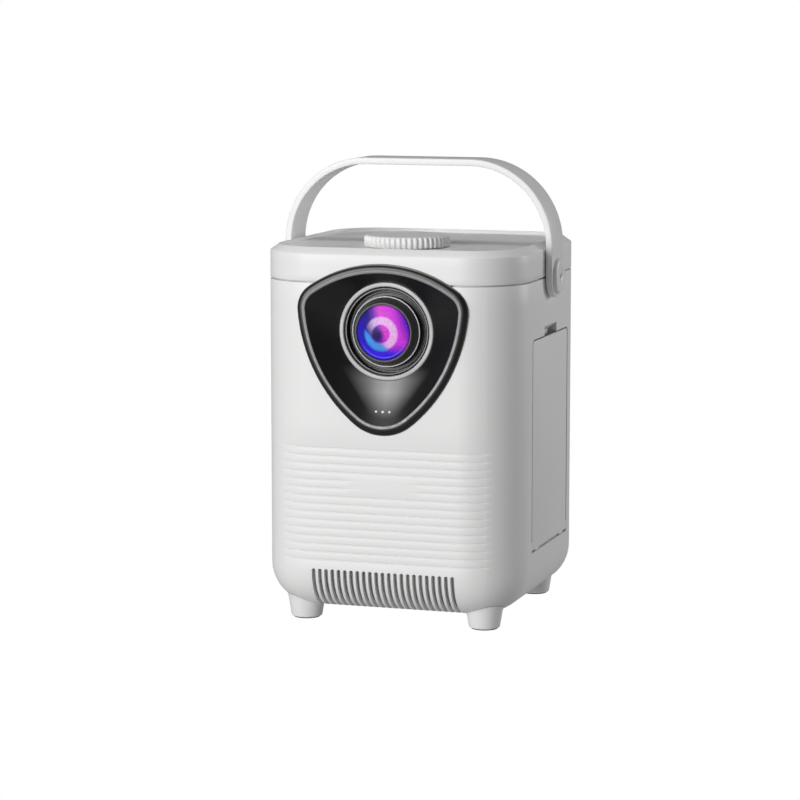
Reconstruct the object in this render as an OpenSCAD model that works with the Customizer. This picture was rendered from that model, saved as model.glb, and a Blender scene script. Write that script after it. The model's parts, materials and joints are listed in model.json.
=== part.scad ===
// Home projector: upright case with a carrying handle, a recessed lens in a
// shield-shaped bezel, a focus dial on the lid and a cleaning door on one side.
// +Z is up, the front faces -Y, and the origin is on the floor below the centre.

/* [Body] */
// Width of the case, side to side
body_w = 150; // [140:1:190]
// Depth of the case, front to back
body_d = 150; // [140:1:190]
// Radius of the upright corners
corner_r = 32.5; // [26:0.5:36]
// Height of the joint line between the case and the lid
seam_z = 193; // [186:1:235]
// Height of the lid above the joint line
lid_h = 19; // [16:1:26]
// Thickness of the case and lid walls
wall = 2.5; // [2:0.1:3]
// Height of the underside above the floor
foot_h = 8; // [6:0.5:14]
// Radius of the rounding round the underside
bottom_r = 23; // [18:0.5:24]
// Visible gap at the joint line
seam_gap = 0.8; // [0.4:0.1:1.2]

/* [Lid] */
// Width of the slope round the lid's upper edge
rim_w = 5; // [3:0.5:7]
// Height of the slope round the lid's upper edge
rim_h = 3.6; // [2:0.2:5]
// Depth of the recessed top below the rim
recess_h = 2; // [1:0.5:6]

/* [Front] */
// Height of the lens axis
lens_z = 166; // [160:1:168]
// Outer radius of the ring round the lens
ring_r = 27.3; // [26.5:0.1:28]
// Outer radius of the focusing barrel
barrel_r = 24.2; // [23.5:0.1:24.4]
// Radius of the visible front glass
glass_r = 15.4; // [13:0.2:16]
// How far the bezel's ridge stands out of the front
bezel_proud = 2.4; // [1.5:0.1:3]
// Width of the slope outside the bezel's ridge
bezel_slope = 3; // [2.4:0.1:3.4]
// Width of the bezel's flat ridge
bezel_ridge = 2; // [1.5:0.1:3]
// Number of decorative grooves
groove_count = 15; // [8:1:16]
// Distance from one groove to the next
groove_pitch = 4.53; // [4:0.1:4.6]
// Height of the lowest groove
groove_z = 37.4; // [36:0.2:40]
// Number of intake slots
slot_count = 23; // [15:2:25]
// Distance from one intake slot to the next
slot_pitch = 3.68; // [3:0.1:3.7]
// Width of an intake slot
slot_w = 2.2; // [1.5:0.1:2.4]

/* [Handle] */
// Width of the handle strap
strap_w = 24; // [16:1:26]
// Thickness of the handle strap
strap_t = 3.8; // [3:0.1:5]
// Height of the handle's top above its pivots
handle_h = 65.3; // [58:0.5:80]
// Radius of the handle's bends, on the outside
handle_r = 48.3; // [36:0.5:49]
// Radius of the pivot pins
pin_r = 4; // [3:0.1:4.5]

/* [Door] */
// Width of the cleaning door
door_w = 74; // [60:1:76]
// Height of the cleaning door
door_h = 119; // [90:1:122]
// Height of the door's lower edge
door_z = 40.5; // [40:0.5:50]
// Distance of the door's middle behind the case's middle
door_y = 1.5; // [0:0.5:2]

/* [Focus] */
// Radius of the focus dial
knob_r = 24; // [18:0.5:26]
// Distance of the dial in front of the case's middle
knob_y = 30.6; // [28:0.2:33]
// Height of the dial above the recessed top
knob_h = 6.8; // [6:0.1:12]
// Number of ribs round the dial
knob_ribs = 48; // [30:2:60]
// Tooth module of the focus pinion and rack
gear_module = 0.8; // [0.8:0.1:0.8]
// Number of teeth on the focus pinion
pinion_teeth = 10; // [10:1:10]

/* [Feet and fits] */
// Radius of a foot at the floor
foot_r = 8.8; // [7:0.1:10]
// Distance of the feet from the middle, sideways and lengthways
foot_pos = 52.5; // [48:0.5:53]
// Radial gap between a shaft and its bearing
run_gap = 0.05; // [0.02:0.01:0.08]
// Gap round parts that drop into place
fit_gap = 0.3; // [0.2:0.05:0.4]

/* [Hidden] */

$fn = 64;
eps = 0.01;

// Case
half_w = body_w / 2;
half_d = body_d / 2;
in_r = corner_r - wall;
core_w = body_w - 2 * corner_r;
core_d = body_d - 2 * corner_r;
top_z = seam_z + lid_h;
floor_z = foot_h + wall;
case_top = seam_z - seam_gap / 2;
lid_bottom = seam_z + seam_gap / 2;
plate_top = top_z - recess_h;
plate_bottom = plate_top - wall;
front_in = -half_d + wall;
rear_in = half_d - wall;
side_in = half_w - wall;

// Focus drive
pinion_pitch_r = gear_module * pinion_teeth / 2;
tooth_pitch = PI * gear_module;
tooth_play = 0.12;
gear_z = seam_z + 1.4;
gear_t = 5;
rack_len = 22;
focus_travel = 5;

// Lens, from front to back along Y
ring_front = -half_d + 6.8;
ring_back = -half_d + 13;
barrel_front = -half_d + 8;
barrel_back = -half_d + 55;
sleeve_front = -half_d + 6.7;
nose_front = -half_d + 1.6;
nose_back = -half_d + 12;
glass_front = nose_front + 0.6;
glass_back = glass_front + 4;
middle_front = -half_d + 29;
rear_front = -half_d + 43;
lens_bore = glass_r + 1.2;
tube_back = -half_d + 61;

// Light engine
engine_w = 72;
engine_front = tube_back;
engine_d = 64;
engine_mid = engine_front + engine_d / 2;
engine_back = engine_front + engine_d;
engine_low = 62;
engine_top = lens_z - 26;
engine_wall = 2;
sheet_w = 66;
sheet_d = 56;
sink_top = engine_low - 2;
sink_low = 20;

// Fans
fan_size = 60;
fan_t = 15;
fan_bore = 28.6;
rotor_r = 28;
hub_r = 12;
lamp_fan_y = engine_front - 5 - fan_t / 2;
lamp_fan_z = 46;
exhaust_y = rear_in - 2.5 - fan_t / 2;
exhaust_z = 120;

// Rear panel
panel_w = 80;
panel_h = 142;
panel_z = 105;
panel_proud = bezel_proud;
panel_ledge = 8;
port_z = [47, 64];

// Fixings
screw_r = 1.45;
head_r = 2.8;
head_h = 2;
boss_r = 4;
boss_pos = 54;
base_w = 82;
base_d = 88;
base_y = 4;
base_ledge = 6;
base_t = 1.5;

// Handle pivots, on the joint line
pivot_z = seam_z;
arm_in = half_w + 0.5;
arm_out = arm_in + strap_t;
handle_core = arm_out - handle_r;
bend_z = pivot_z + handle_h - handle_r;
cap_t = 2;
cap_r = 10;
bracket_x = 66.5;
bracket_t = 3;

// Colours
c_case = [0.93, 0.93, 0.92];
c_black = [0.06, 0.06, 0.07];
c_dark = [0.16, 0.16, 0.17];
c_grey = [0.66, 0.67, 0.68];
c_steel = [0.72, 0.73, 0.75];
c_brass = [0.80, 0.66, 0.34];
c_board = [0.08, 0.32, 0.18];
c_glass = [0.55, 0.45, 0.85, 0.5];
c_rubber = [0.1, 0.1, 0.1];

// ---------------------------------------------------------------- shapes

// Flat rectangle with round corners
module round_rect(w, d, r) {
    square([w - 2 * r, d], center = true);
    square([w, d - 2 * r], center = true);
    for (sx = [-1, 1], sy = [-1, 1])
        translate([sx * (w / 2 - r), sy * (d / 2 - r)]) circle(r);
}

// Solid of the case's plan: the child is a half section, with X measured
// outwards from the corner centre, which goes round the corners and sides.
module around(z0, z1) {
    translate([-core_w / 2, -core_d / 2, z0]) cube([core_w, core_d, z1 - z0]);
    for (q = [0 : 3]) {
        sx = (q == 0 || q == 3) ? 1 : -1;
        sy = (q < 2) ? 1 : -1;
        translate([sx * core_w / 2, sy * core_d / 2, 0])
            rotate([0, 0, 90 * q]) rotate_extrude(angle = 90) children();
    }
    for (s = [0, 1]) {
        rotate([0, 0, 180 * s]) translate([core_w / 2, core_d / 2, 0])
            rotate([90, 0, 0]) linear_extrude(core_d) children();
        rotate([0, 0, 180 * s]) translate([-core_w / 2, core_d / 2, 0])
            rotate([90, 0, 90]) linear_extrude(core_w) children();
    }
}

// Half section with a rounded lower outer corner
module filleted_section(r, f, z0, z1) {
    translate([0, z0]) square([r - f, f]);
    intersection() {
        translate([r - f, z0 + f]) circle(f);
        translate([r - f, z0]) square([f, f]);
    }
    translate([0, z0 + f]) square([r, z1 - z0 - f]);
}

module case_outside() {
    around(foot_h, case_top) filleted_section(corner_r, bottom_r, foot_h, case_top);
}

module case_inside() {
    around(floor_z, case_top + 1) filleted_section(in_r, bottom_r - wall, floor_z, case_top + 1);
}

// A cylinder along X, Y or Z from its low end
module rod_x(r, l) { rotate([0, 90, 0]) cylinder(r = r, h = l); }
module rod_y(r, l) { rotate([-90, 0, 0]) cylinder(r = r, h = l); }
module tube_y(ro, ri, l) {
    difference() {
        rod_y(ro, l);
        translate([0, -1, 0]) rod_y(ri, l + 2);
    }
}

// A solid of revolution about the lens axis, drawn with X as the radius
// and Y as the place along the axis.
module lens_turned() {
    translate([0, 0, lens_z]) rotate([-90, 0, 0]) rotate_extrude() children();
}

// A wall panel lying in the XZ plane, with its low face at y
module panel_xz(w, h, r, y, t, z) {
    translate([0, y + t, z]) rotate([90, 0, 0]) linear_extrude(t) round_rect(w, h, r);
}

// A wall panel lying in the YZ plane, with its low face at x
module panel_yz(d, h, r, x, t, y, z) {
    translate([x, y, z]) rotate([90, 0, 90]) linear_extrude(t) round_rect(d, h, r);
}

module both_sides() {
    children();
    mirror([1, 0, 0]) children();
}

// ------------------------------------------------------- bezel outline
// A shield of six arcs that run into each other: a broad top, two tight
// shoulders, two long sides and a round lower end. Heights are from the lens.
shield_top = 38.1;
shield_low = 57.1;
shield_top_r = 75;
shield_side_r = 90;
shield_low_r = 26;
shoulder_r = 15;
shoulder_x = 34.2;

shield_top_c = [0, shield_top - shield_top_r];
shoulder_c = [shoulder_x,
    shield_top_c.y + sqrt(pow(shield_top_r - shoulder_r, 2) - pow(shoulder_x, 2))];
shield_low_c = [0, shield_low_r - shield_low];

// Where circles of radius ra round a and rb round b cross, to the left of a to b
function crossing(a, ra, b, rb) =
    let (d = norm(b - a), u = (b - a) / d,
         k = (ra * ra - rb * rb + d * d) / (2 * d), h = sqrt(ra * ra - k * k))
    a + k * u + h * [-u.y, u.x];

shield_side_c = crossing(shield_low_c, shield_side_r - shield_low_r,
    shoulder_c, shield_side_r - shoulder_r);

function heading(from, to) = atan2(to.y - from.y, to.x - from.x);

function arc(c, r, a0, a1, n) =
    [for (i = [0 : n - 1]) c + r * [cos(a0 + (a1 - a0) * i / n), sin(a0 + (a1 - a0) * i / n)]];

// Right half, from the lower end up to the top, set in by inset
function shield_half(inset) =
    let (a_low = heading(shield_side_c, shield_low_c),
         a_side = heading(shield_side_c, shoulder_c),
         a_top = heading(shield_top_c, shoulder_c))
    concat(
        arc(shield_low_c, shield_low_r - inset, -90, a_low, 10),
        arc(shield_side_c, shield_side_r - inset, a_low, a_side, 12),
        arc(shoulder_c, shoulder_r - inset, a_side, a_top, 10),
        arc(shield_top_c, shield_top_r - inset, a_top, 90, 10),
        [shield_top_c + [0, shield_top_r - inset]]);

function shield(inset) =
    let (h = shield_half(inset), n = len(h))
    concat(h, [for (i = [n - 2 : -1 : 1]) [-h[i].x, h[i].y]]);

// The shield as a slab from y0 to y1
module shield_slab(inset, y0, y1) {
    translate([0, y1, lens_z]) rotate([90, 0, 0])
        linear_extrude(y1 - y0) polygon(shield(inset));
}

module disc_slab(r, y0, y1) {
    translate([0, y0, lens_z]) rod_y(r, y1 - y0);
}

// ---------------------------------------------------------------- case

module groove_cuts() {
    wrap = corner_r * sin(30);
    groove_x = core_w / 2 + wrap;
    blank_x = 20;
    groove_w = 1;
    groove_depth = 0.6;
    for (i = [0 : groove_count - 1]) {
        from_top = groove_count - 1 - i;
        z = groove_z + i * groove_pitch;
        intersection() {
            translate([0, 0, z - groove_w / 2]) linear_extrude(groove_w) difference() {
                round_rect(body_w + 2, body_d + 2, corner_r + 1);
                round_rect(body_w - 2 * groove_depth, body_d - 2 * groove_depth,
                    corner_r - groove_depth);
            }
            if (from_top == 4 || from_top == 5)
                both_sides() translate([blank_x, -half_d - 2, z - groove_w])
                    cube([groove_x - blank_x, corner_r, 2 * groove_w]);
            else
                translate([-groove_x, -half_d - 2, z - groove_w])
                    cube([2 * groove_x, corner_r, 2 * groove_w]);
        }
    }
}

module intake_slots() {
    slot_top = foot_h + bottom_r + 1.3;
    slot_back = half_d - bottom_r - 8;
    for (i = [0 : slot_count - 1])
        translate([(i - (slot_count - 1) / 2) * slot_pitch - slot_w / 2, -half_d - 2, foot_h - 2])
            cube([slot_w, half_d + 2 - slot_back, slot_top - foot_h + 2]);
}

// Frame that backs the door opening
door_open_w = door_w - 8;
door_open_h = door_h - 8;
door_mid_z = door_z + door_h / 2;
door_frame_t = 2.5;
door_t = 2;
gasket_t = 0.8;
pocket_x = half_w - door_t - gasket_t - 0.1;
// Hinge along the door's lower edge
hinge_r = 1.9;
hinge_x = half_w - hinge_r;
hinge_z = door_z + 0.2 + hinge_r;
hinge_pin_r = 0.6;
ear_r = 1.15;
ear_y = 26;
ear_w = 6;

// Ears of the case that carry the hinge pins
module hinge_ears() {
    for (s = [-1, 1]) translate([hinge_x, door_y + s * ear_y - ear_w / 2, hinge_z]) difference() {
        union() {
            rod_y(ear_r, ear_w);
            translate([-hinge_r - 1, 0, -ear_r]) cube([hinge_r + 0.9, ear_w, 2 * ear_r]);
        }
        translate([0, -1, 0]) rod_y(hinge_pin_r, ear_w + 2);
    }
}

module notch_cut() {
    notch_w = 26;
    notch_h = 6;
    notch_x = side_in - door_frame_t + 0.6;
    z0 = door_z + door_h;
    translate([0, door_y + notch_w / 2, 0]) rotate([90, 0, 0]) linear_extrude(notch_w)
        polygon([[notch_x, z0 - 1], [half_w + 1, z0 - 1], [half_w + 1, z0 + notch_h],
            [half_w - 0.2, z0 + notch_h], [notch_x, z0 + notch_h - 3.8]]);
}

module speaker_slots() {
    for (i = [-4 : 4])
        translate([-half_w - 1, speaker_y - 17, speaker_z + i * 3.6 - 0.8])
            cube([wall + 2, 34, 1.6]);
}

module foot_at(sx, sy) {
    translate([sx * foot_pos, sy * foot_pos, 0]) children();
}

module main_housing() color(c_case) {
    hinge_ears();
    difference() {
        union() {
            difference() {
                case_outside();
                case_inside();
            }
            // frame round the door opening
            panel_yz(door_w + 6, door_h + 10, 4, side_in - door_frame_t, door_frame_t + 1,
                door_y, door_mid_z);
            // bosses for the lid screws, tied to the corners
            for (sx = [-1, 1], sy = [-1, 1]) {
                translate([sx * boss_pos, sy * boss_pos, seam_z - 17])
                    cylinder(r = boss_r, h = 17 - seam_gap / 2);
                translate([sx * (boss_pos + 5), sy * (boss_pos + 5), seam_z - 17])
                    rotate([0, 0, 45 * sx * sy]) translate([-7.6, -1.5, 0]) cube([15.2, 3, 12]);
            }
            // flats for the foot screws
            for (sx = [-1, 1], sy = [-1, 1]) intersection() {
                foot_at(sx, sy) cylinder(r = 5, h = floor_z + 4);
                case_outside();
            }
            // posts for the main board
            for (sx = [-1, 1], z = board_z)
                translate([sx * board_post_x, front_in - 1, z])
                    rod_y(3, board_y - front_in + 1);
            // bosses for the rear panel's screws
            for (sx = [-1, 1], sz = [-1, 1])
                translate([sx * panel_screw_x, rear_in - 4, panel_z + sz * panel_screw_z])
                    rod_y(3, 5);
            // bosses for the base screws
            for (sx = [-1, 1], sy = [-1, 1])
                translate([sx * base_screw_x, base_y + sy * base_screw_y, foot_h + base_t])
                    cylinder(r = 3, h = 8);
        }
        groove_cuts();
        intake_slots();
        shield_slab(1.4, -half_d - 1, ring_front);
        // door pocket, door opening and finger notch
        panel_yz(door_w + 2 * fit_gap, door_h + 2 * fit_gap, 3, pocket_x, 5, door_y, door_mid_z);
        translate([hinge_x - hinge_r - 0.3, door_y - door_w / 2 - fit_gap, door_z - fit_gap])
            cube([10, door_w + 2 * fit_gap, hinge_z + hinge_r + 0.3 - door_z + fit_gap]);
        panel_yz(door_open_w, door_open_h, 3, side_in - 10, 15, door_y, door_mid_z);
        notch_cut();
        speaker_slots();
        // rear opening
        panel_xz(panel_w - 2 * panel_ledge, panel_h - 2 * panel_ledge, 6, rear_in - 10, 20, panel_z);
        // underside: recess and opening for the base plate
        translate([0, base_y, foot_h - 1]) linear_extrude(base_t + 1)
            round_rect(base_w, base_d, 8);
        translate([0, base_y, foot_h - 1]) linear_extrude(wall + 3)
            round_rect(base_w - 2 * base_ledge, base_d - 2 * base_ledge, 5);
        // half holes for the handle pins
        both_sides() translate([side_in - 4, 0, pivot_z]) rod_x(pin_r + 0.6, wall + 8);
        // screw holes
        for (sx = [-1, 1], sy = [-1, 1]) {
            translate([sx * boss_pos, sy * boss_pos, seam_z - 18]) cylinder(r = screw_r + 0.1, h = 20);
            foot_at(sx, sy) cylinder(r = screw_r + 0.1, h = 30);
            translate([sx * base_screw_x, base_y + sy * base_screw_y, foot_h])
                cylinder(r = screw_r + 0.05, h = 8);
            translate([sx * panel_screw_x, rear_in - 6, panel_z + sy * panel_screw_z])
                rod_y(screw_r + 0.05, 12);
        }
        for (sx = [-1, 1], z = board_z)
            translate([sx * board_post_x, board_y - 9, z]) rod_y(screw_r + 0.05, 12);
        // flat under the head of each foot screw
        for (sx = [-1, 1], sy = [-1, 1]) foot_at(sx, sy) translate([0, 0, floor_z + 3.5])
            cylinder(r = 4.5, h = 12);
    }
}

module lid_section() {
    polygon([[0, lid_bottom], [corner_r, lid_bottom], [corner_r, top_z - rim_h],
        [corner_r - rim_w, top_z], [corner_r - rim_w - 0.5, top_z],
        [corner_r - rim_w - 0.9, plate_top], [0, plate_top]]);
}

module top_lid() color(c_case) {
    lip_in = in_r - 1.8;
    lip_out = in_r - 0.2;
    difference() {
        union() {
            difference() {
                around(lid_bottom, plate_top) lid_section();
                around(lid_bottom - 1, plate_bottom)
                    translate([0, lid_bottom - 1]) square([in_r, plate_bottom - lid_bottom + 1]);
            }
            // lip that drops inside the case
            difference() {
                union() {
                    translate([0, 0, lid_bottom - 4]) linear_extrude(8)
                        round_rect(body_w - 2 * (corner_r - lip_out),
                            body_d - 2 * (corner_r - lip_out), lip_out);
                    translate([0, 0, lid_bottom]) linear_extrude(4)
                        round_rect(body_w - 2 * wall + 0.2, body_d - 2 * wall + 0.2, in_r + 0.1);
                }
                translate([0, 0, lid_bottom - 5]) linear_extrude(10)
                    round_rect(body_w - 2 * (corner_r - lip_in), body_d - 2 * (corner_r - lip_in),
                        lip_in);
            }
            for (sx = [-1, 1], sy = [-1, 1])
                translate([sx * boss_pos, sy * boss_pos, case_top])
                    cylinder(r = boss_r, h = plate_top - case_top - 1);
            // collar round the dial's bush
            translate([0, -knob_y, plate_bottom - 1.5]) cylinder(r = 9, h = 2.5);
        }
        shield_slab(1.4, -half_d - 1, ring_front);
        both_sides() translate([side_in - 4, 0, pivot_z]) rod_x(pin_r + 0.6, wall + 8);
        translate([0, -knob_y, plate_bottom - 3]) cylinder(r = bush_r, h = 10);
        for (sx = [-1, 1], sy = [-1, 1])
            translate([sx * boss_pos, sy * boss_pos, case_top - 1])
                cylinder(r = screw_r + 0.05, h = 10);
    }
}

base_screw_x = base_w / 2 - 3.2;
base_screw_y = base_d / 2 - 3.2;
insert_r = 4.5;
insert_h = 8;
// Radius inside the thread of a 1/4 inch tripod socket
thread_r = 2.55;

module base_plate() color(c_case) {
    difference() {
        union() {
            translate([0, base_y, foot_h]) linear_extrude(base_t)
                round_rect(base_w - 2 * fit_gap, base_d - 2 * fit_gap, 8 - fit_gap);
            translate([0, base_y, foot_h]) cylinder(r = insert_r + 3, h = insert_h + 0.5);
        }
        translate([0, base_y, foot_h - 1]) cylinder(r = insert_r, h = insert_h + 3);
        for (sx = [-1, 1], sy = [-1, 1])
            translate([sx * base_screw_x, base_y + sy * base_screw_y, foot_h - 1])
                cylinder(r = screw_r + 0.15, h = 4);
        // drain and air slots either side of the tripod socket
        for (sx = [-1, 1], i = [0 : 5])
            translate([sx * 24 - 9, base_y - 19 + i * 7, foot_h - 1]) cube([18, 2.4, 4]);
    }
}

module tripod_insert() color(c_brass) {
    difference() {
        translate([0, base_y, foot_h + 0.5]) cylinder(r = insert_r, h = insert_h);
        translate([0, base_y, foot_h - 1]) cylinder(r = thread_r, h = insert_h + 4);
    }
}

panel_screw_x = panel_w / 2 - 4.5;
panel_screw_z = panel_h / 2 - 4.5;
button_x = -16;
button_z = 160;
button_r = 6;

module rear_panel() color(c_case) {
    difference() {
        union() {
            panel_xz(panel_w, panel_h, 8, half_d, panel_proud, panel_z);
            panel_xz(panel_w - 2 * panel_ledge - 2 * fit_gap, panel_h - 2 * panel_ledge - 2 * fit_gap,
                6 - fit_gap, rear_in, wall + 0.5, panel_z);
            for (sx = [-1, 1], sz = [-1, 1])
                translate([sx * 25, rear_in - 2.5, exhaust_z + sz * 25]) rod_y(boss_r, 4);
        }
        for (i = [-8 : 8])
            translate([i * slot_pitch - slot_w / 2, rear_in - 1, exhaust_z - 27])
                cube([slot_w, 10, 54]);
        // openings for the sockets
        translate([0, rear_in - 1, 0]) {
            for (x = [usb_x], z = port_z)
                translate([x - usb_w / 2 - fit_gap, 0, z - usb_h / 2 - fit_gap])
                    cube([usb_w + 2 * fit_gap, 10, usb_h + 2 * fit_gap]);
            translate([hdmi_x - hdmi_w / 2 - fit_gap, 0, port_z[0] - hdmi_h / 2 - fit_gap])
                cube([hdmi_w + 2 * fit_gap, 10, hdmi_h + 2 * fit_gap]);
            translate([hdmi_x, 0, port_z[1]]) rod_y(jack_r + fit_gap, 10);
            translate([inlet_x - inlet_w / 2 - fit_gap, 0, inlet_z - inlet_h / 2 - fit_gap])
                cube([inlet_w + 2 * fit_gap, 10, inlet_h + 2 * fit_gap]);
        }
        translate([button_x, rear_in - 4, button_z]) rod_y(button_r + fit_gap, 12);
        // window for the remote control's receiver
        translate([-button_x, rear_in + 2, button_z]) rod_y(4, 6);
        for (sx = [-1, 1], sz = [-1, 1])
            translate([sx * panel_screw_x, rear_in - 4, panel_z + sz * panel_screw_z]) {
                rod_y(screw_r + 0.15, 12);
                translate([0, wall + 4 + panel_proud - head_h + 0.2, 0]) rod_y(head_r + 0.2, 4);
            }
    }
}

// Dust mesh behind the intake slots, following the inside of the rounding
module intake_filter() color(c_grey) {
    r = bottom_r - wall - 0.1;
    t = 1;
    cy = -half_d + bottom_r;
    cz = foot_h + bottom_r;
    translate([-core_w / 2 + 0.5, 0, 0]) rotate([90, 0, 90]) linear_extrude(core_w - 1) {
        intersection() {
            translate([cy, cz]) difference() {
                circle(r);
                circle(r - t);
            }
            translate([cy - bottom_r, cz - bottom_r]) square(bottom_r);
        }
        translate([front_in, cz]) square([t + 0.1, 3.5]);
        translate([cy, floor_z]) square([7, t + 0.1]);
    }
}

// Feet taper down from the rounded underside
module foot(sx, sy) color(c_case) {
    foot_top_r = foot_r + 2.3;
    difference() {
        foot_at(sx, sy) translate([0, 0, 0.6]) {
            cylinder(r1 = foot_r - 0.8, r2 = foot_r, h = 0.9);
            translate([0, 0, 0.9]) cylinder(r1 = foot_r, r2 = foot_top_r, h = 14);
        }
        case_outside();
        foot_at(sx, sy) translate([0, 0, -1]) cylinder(r = foot_r - 1.3, h = 3.1);
        foot_at(sx, sy) translate([0, 0, 4]) cylinder(r = screw_r + 0.05, h = 20);
    }
}
module feet() {
    for (sx = [-1, 1], sy = [-1, 1]) foot(sx, sy);
}

module foot_pads() color(c_rubber)
    for (sx = [-1, 1], sy = [-1, 1]) foot_at(sx, sy) cylinder(r = foot_r - 1.4, h = 2.1);

// ---------------------------------------------------------------- door

module side_door() color(c_case) {
    rim_t = 1.8;
    lift = 0.5;
    clear_r = ear_r + 0.25;
    difference() {
        union() {
            intersection() {
                panel_yz(door_w, door_h, 2.7, half_w - door_t, door_t, door_y, door_mid_z);
                translate([half_w - 10, door_y - door_w, hinge_z]) cube([20, 2 * door_w, door_h]);
            }
            difference() {
                panel_yz(door_open_w - 2, door_open_h - 2, 2.5, half_w - door_t - 2, 2.5,
                    door_y, door_mid_z + lift);
                panel_yz(door_open_w - 2 - 2 * rim_t, door_open_h - 2 - 2 * rim_t, 1.5,
                    half_w - door_t - 3, 3, door_y, door_mid_z + lift);
            }
            // round lower edge, which turns on the hinge pins
            translate([hinge_x, door_y - door_w / 2, hinge_z]) rod_y(hinge_r, door_w);
        }
        for (s = [-1, 1]) translate([hinge_x, door_y + s * ear_y, hinge_z]) {
            translate([0, -ear_w / 2 - 0.3, 0]) rod_y(clear_r, ear_w + 0.6);
            translate([-6, -ear_w / 2 - 0.3, -3]) cube([6, ear_w + 0.6, 3 + clear_r]);
            translate([-1, -ear_w / 2 - 0.3, -3]) cube([2.2, ear_w + 0.6, 3]);
            translate([0, -10, 0]) rod_y(hinge_pin_r + run_gap, 20);
        }
        // seat for the magnet
        translate([half_w - door_t - 5, door_y - magnet_l / 2, magnet_z])
            cube([5, magnet_l, magnet_h]);
    }
}

module door_hinge_pins() color(c_steel)
    for (s = [-1, 1]) translate([hinge_x, door_y + s * ear_y - 9.5, hinge_z]) rod_y(hinge_pin_r, 19);

magnet_l = 12;
magnet_h = 3;
magnet_z = door_mid_z + door_open_h / 2 - 1 + 0.5 - 1.8 - magnet_h;

module door_magnet() color(c_steel)
    translate([half_w - door_t - 2.2, door_y - magnet_l / 2, magnet_z])
        cube([2.2, magnet_l, magnet_h]);

// Steel strip behind the frame's upper edge, which the magnet faces
module catch_plate() color(c_steel)
    translate([side_in - door_frame_t - 1.2, door_y - 10, magnet_z])
        cube([1.2, 20, magnet_h + 8]);

module door_gasket() color(c_rubber)
    difference() {
        panel_yz(door_w - 1, door_h - 1, 2, pocket_x, gasket_t, door_y, door_mid_z);
        panel_yz(door_open_w + 0.4, door_open_h + 0.4, 3, pocket_x - 1, gasket_t + 2,
            door_y, door_mid_z);
        translate([pocket_x - 1, door_y - door_w, door_z - 2])
            cube([gasket_t + 2, 2 * door_w, hinge_z + hinge_r + 1.5 - door_z + 2]);
    }

// --------------------------------------------------------------- bezel

ridge_y = -half_d - bezel_proud;
ridge_low = -half_d + 4;

// Dish behind the ridge, running in to the ring round the lens
module bezel_dish(inset, y0, r, y1) {
    hull() {
        shield_slab(inset, y0, y0 + 0.1);
        disc_slab(r, y1 - 0.1, y1);
    }
}

module lens_bezel() color(c_black) {
    difference() {
        union() {
            hull() {
                shield_slab(bezel_slope, ridge_y, ridge_y + 0.1);
                shield_slab(0, -half_d - 0.1, -half_d);
            }
            shield_slab(1.7, -half_d - 0.1, -half_d + wall);
            bezel_dish(1.8, -half_d + wall - 0.1, ring_r + 2, ring_front + 2);
        }
        bezel_dish(bezel_slope + bezel_ridge, ridge_y + 0.4, ring_r + 0.1, ring_front + 0.1);
        shield_slab(bezel_slope + bezel_ridge, ridge_y - 1, ridge_y + 0.5);
        disc_slab(ring_r + 0.1, ridge_y - 1, ring_back);
        // groove that takes the trim
        difference() {
            shield_slab(bezel_slope, ridge_y - 1, ridge_y + 0.8);
            shield_slab(bezel_slope + bezel_ridge - 0.4, ridge_y - 2, ridge_y + 2);
        }
        for (x = light_x) translate([x, light_y - 6, lens_z - light_drop]) rod_y(light_r, 20);
    }
}

module bezel_trim() color(c_grey)
    difference() {
        shield_slab(bezel_slope, ridge_y, ridge_y + 0.8);
        shield_slab(bezel_slope + bezel_ridge - 0.4, ridge_y - 1, ridge_y + 2);
    }

light_x = [-3.9, 0, 3.9];
light_drop = 44;
light_r = 0.9;
light_y = -half_d + 0.9;

module indicator_lights() color([0.9, 0.9, 0.9])
    for (x = light_x) translate([x, light_y, lens_z - light_drop]) rod_y(light_r - 0.02, 3);

// ---------------------------------------------------------------- lens

module lens_ring() color(c_grey)
    lens_turned() polygon([
        [barrel_r + 0.7, ring_front + 0.8], [barrel_r + 1.2, ring_front],
        [ring_r - 0.5, ring_front], [ring_r, ring_front + 0.5],
        [ring_r, ring_back], [barrel_r + 0.7, ring_back]]);

tube_r = ring_r - 0.3;

module lens_tube() color(c_dark)
    difference() {
        union() {
            translate([0, ring_back, lens_z]) tube_y(tube_r, barrel_r + 0.08, tube_back - ring_back);
            translate([0, tube_back - 3, lens_z]) tube_y(tube_r + 4, barrel_r + 0.08, 3);
        }
        translate([rack_x - 2.2, rack_mid - rack_len / 2 - focus_travel - 1, lens_z])
            cube([rack_w + 3.4, rack_len + 2 * focus_travel + 10, 60]);
    }

pocket_r = barrel_r - 1;
retainer_r = 18.9;
sleeve_r = retainer_r + 0.8;
pocket_floor = barrel_front + 5;
nose_bore = glass_r + 0.5;

module lens_barrel() color(c_black)
    lens_turned() polygon([
        [lens_bore, nose_back], [retainer_r, nose_back],
        [retainer_r, sleeve_front + 0.2], [retainer_r + 0.2, sleeve_front],
        [sleeve_r - 0.2, sleeve_front], [sleeve_r, sleeve_front + 0.2],
        [sleeve_r, pocket_floor], [pocket_r, pocket_floor], [pocket_r, barrel_front + 0.3],
        [pocket_r + 0.3, barrel_front], [barrel_r - 0.3, barrel_front],
        [barrel_r, barrel_front + 0.3], [barrel_r, barrel_back], [lens_bore, barrel_back]]);

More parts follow.
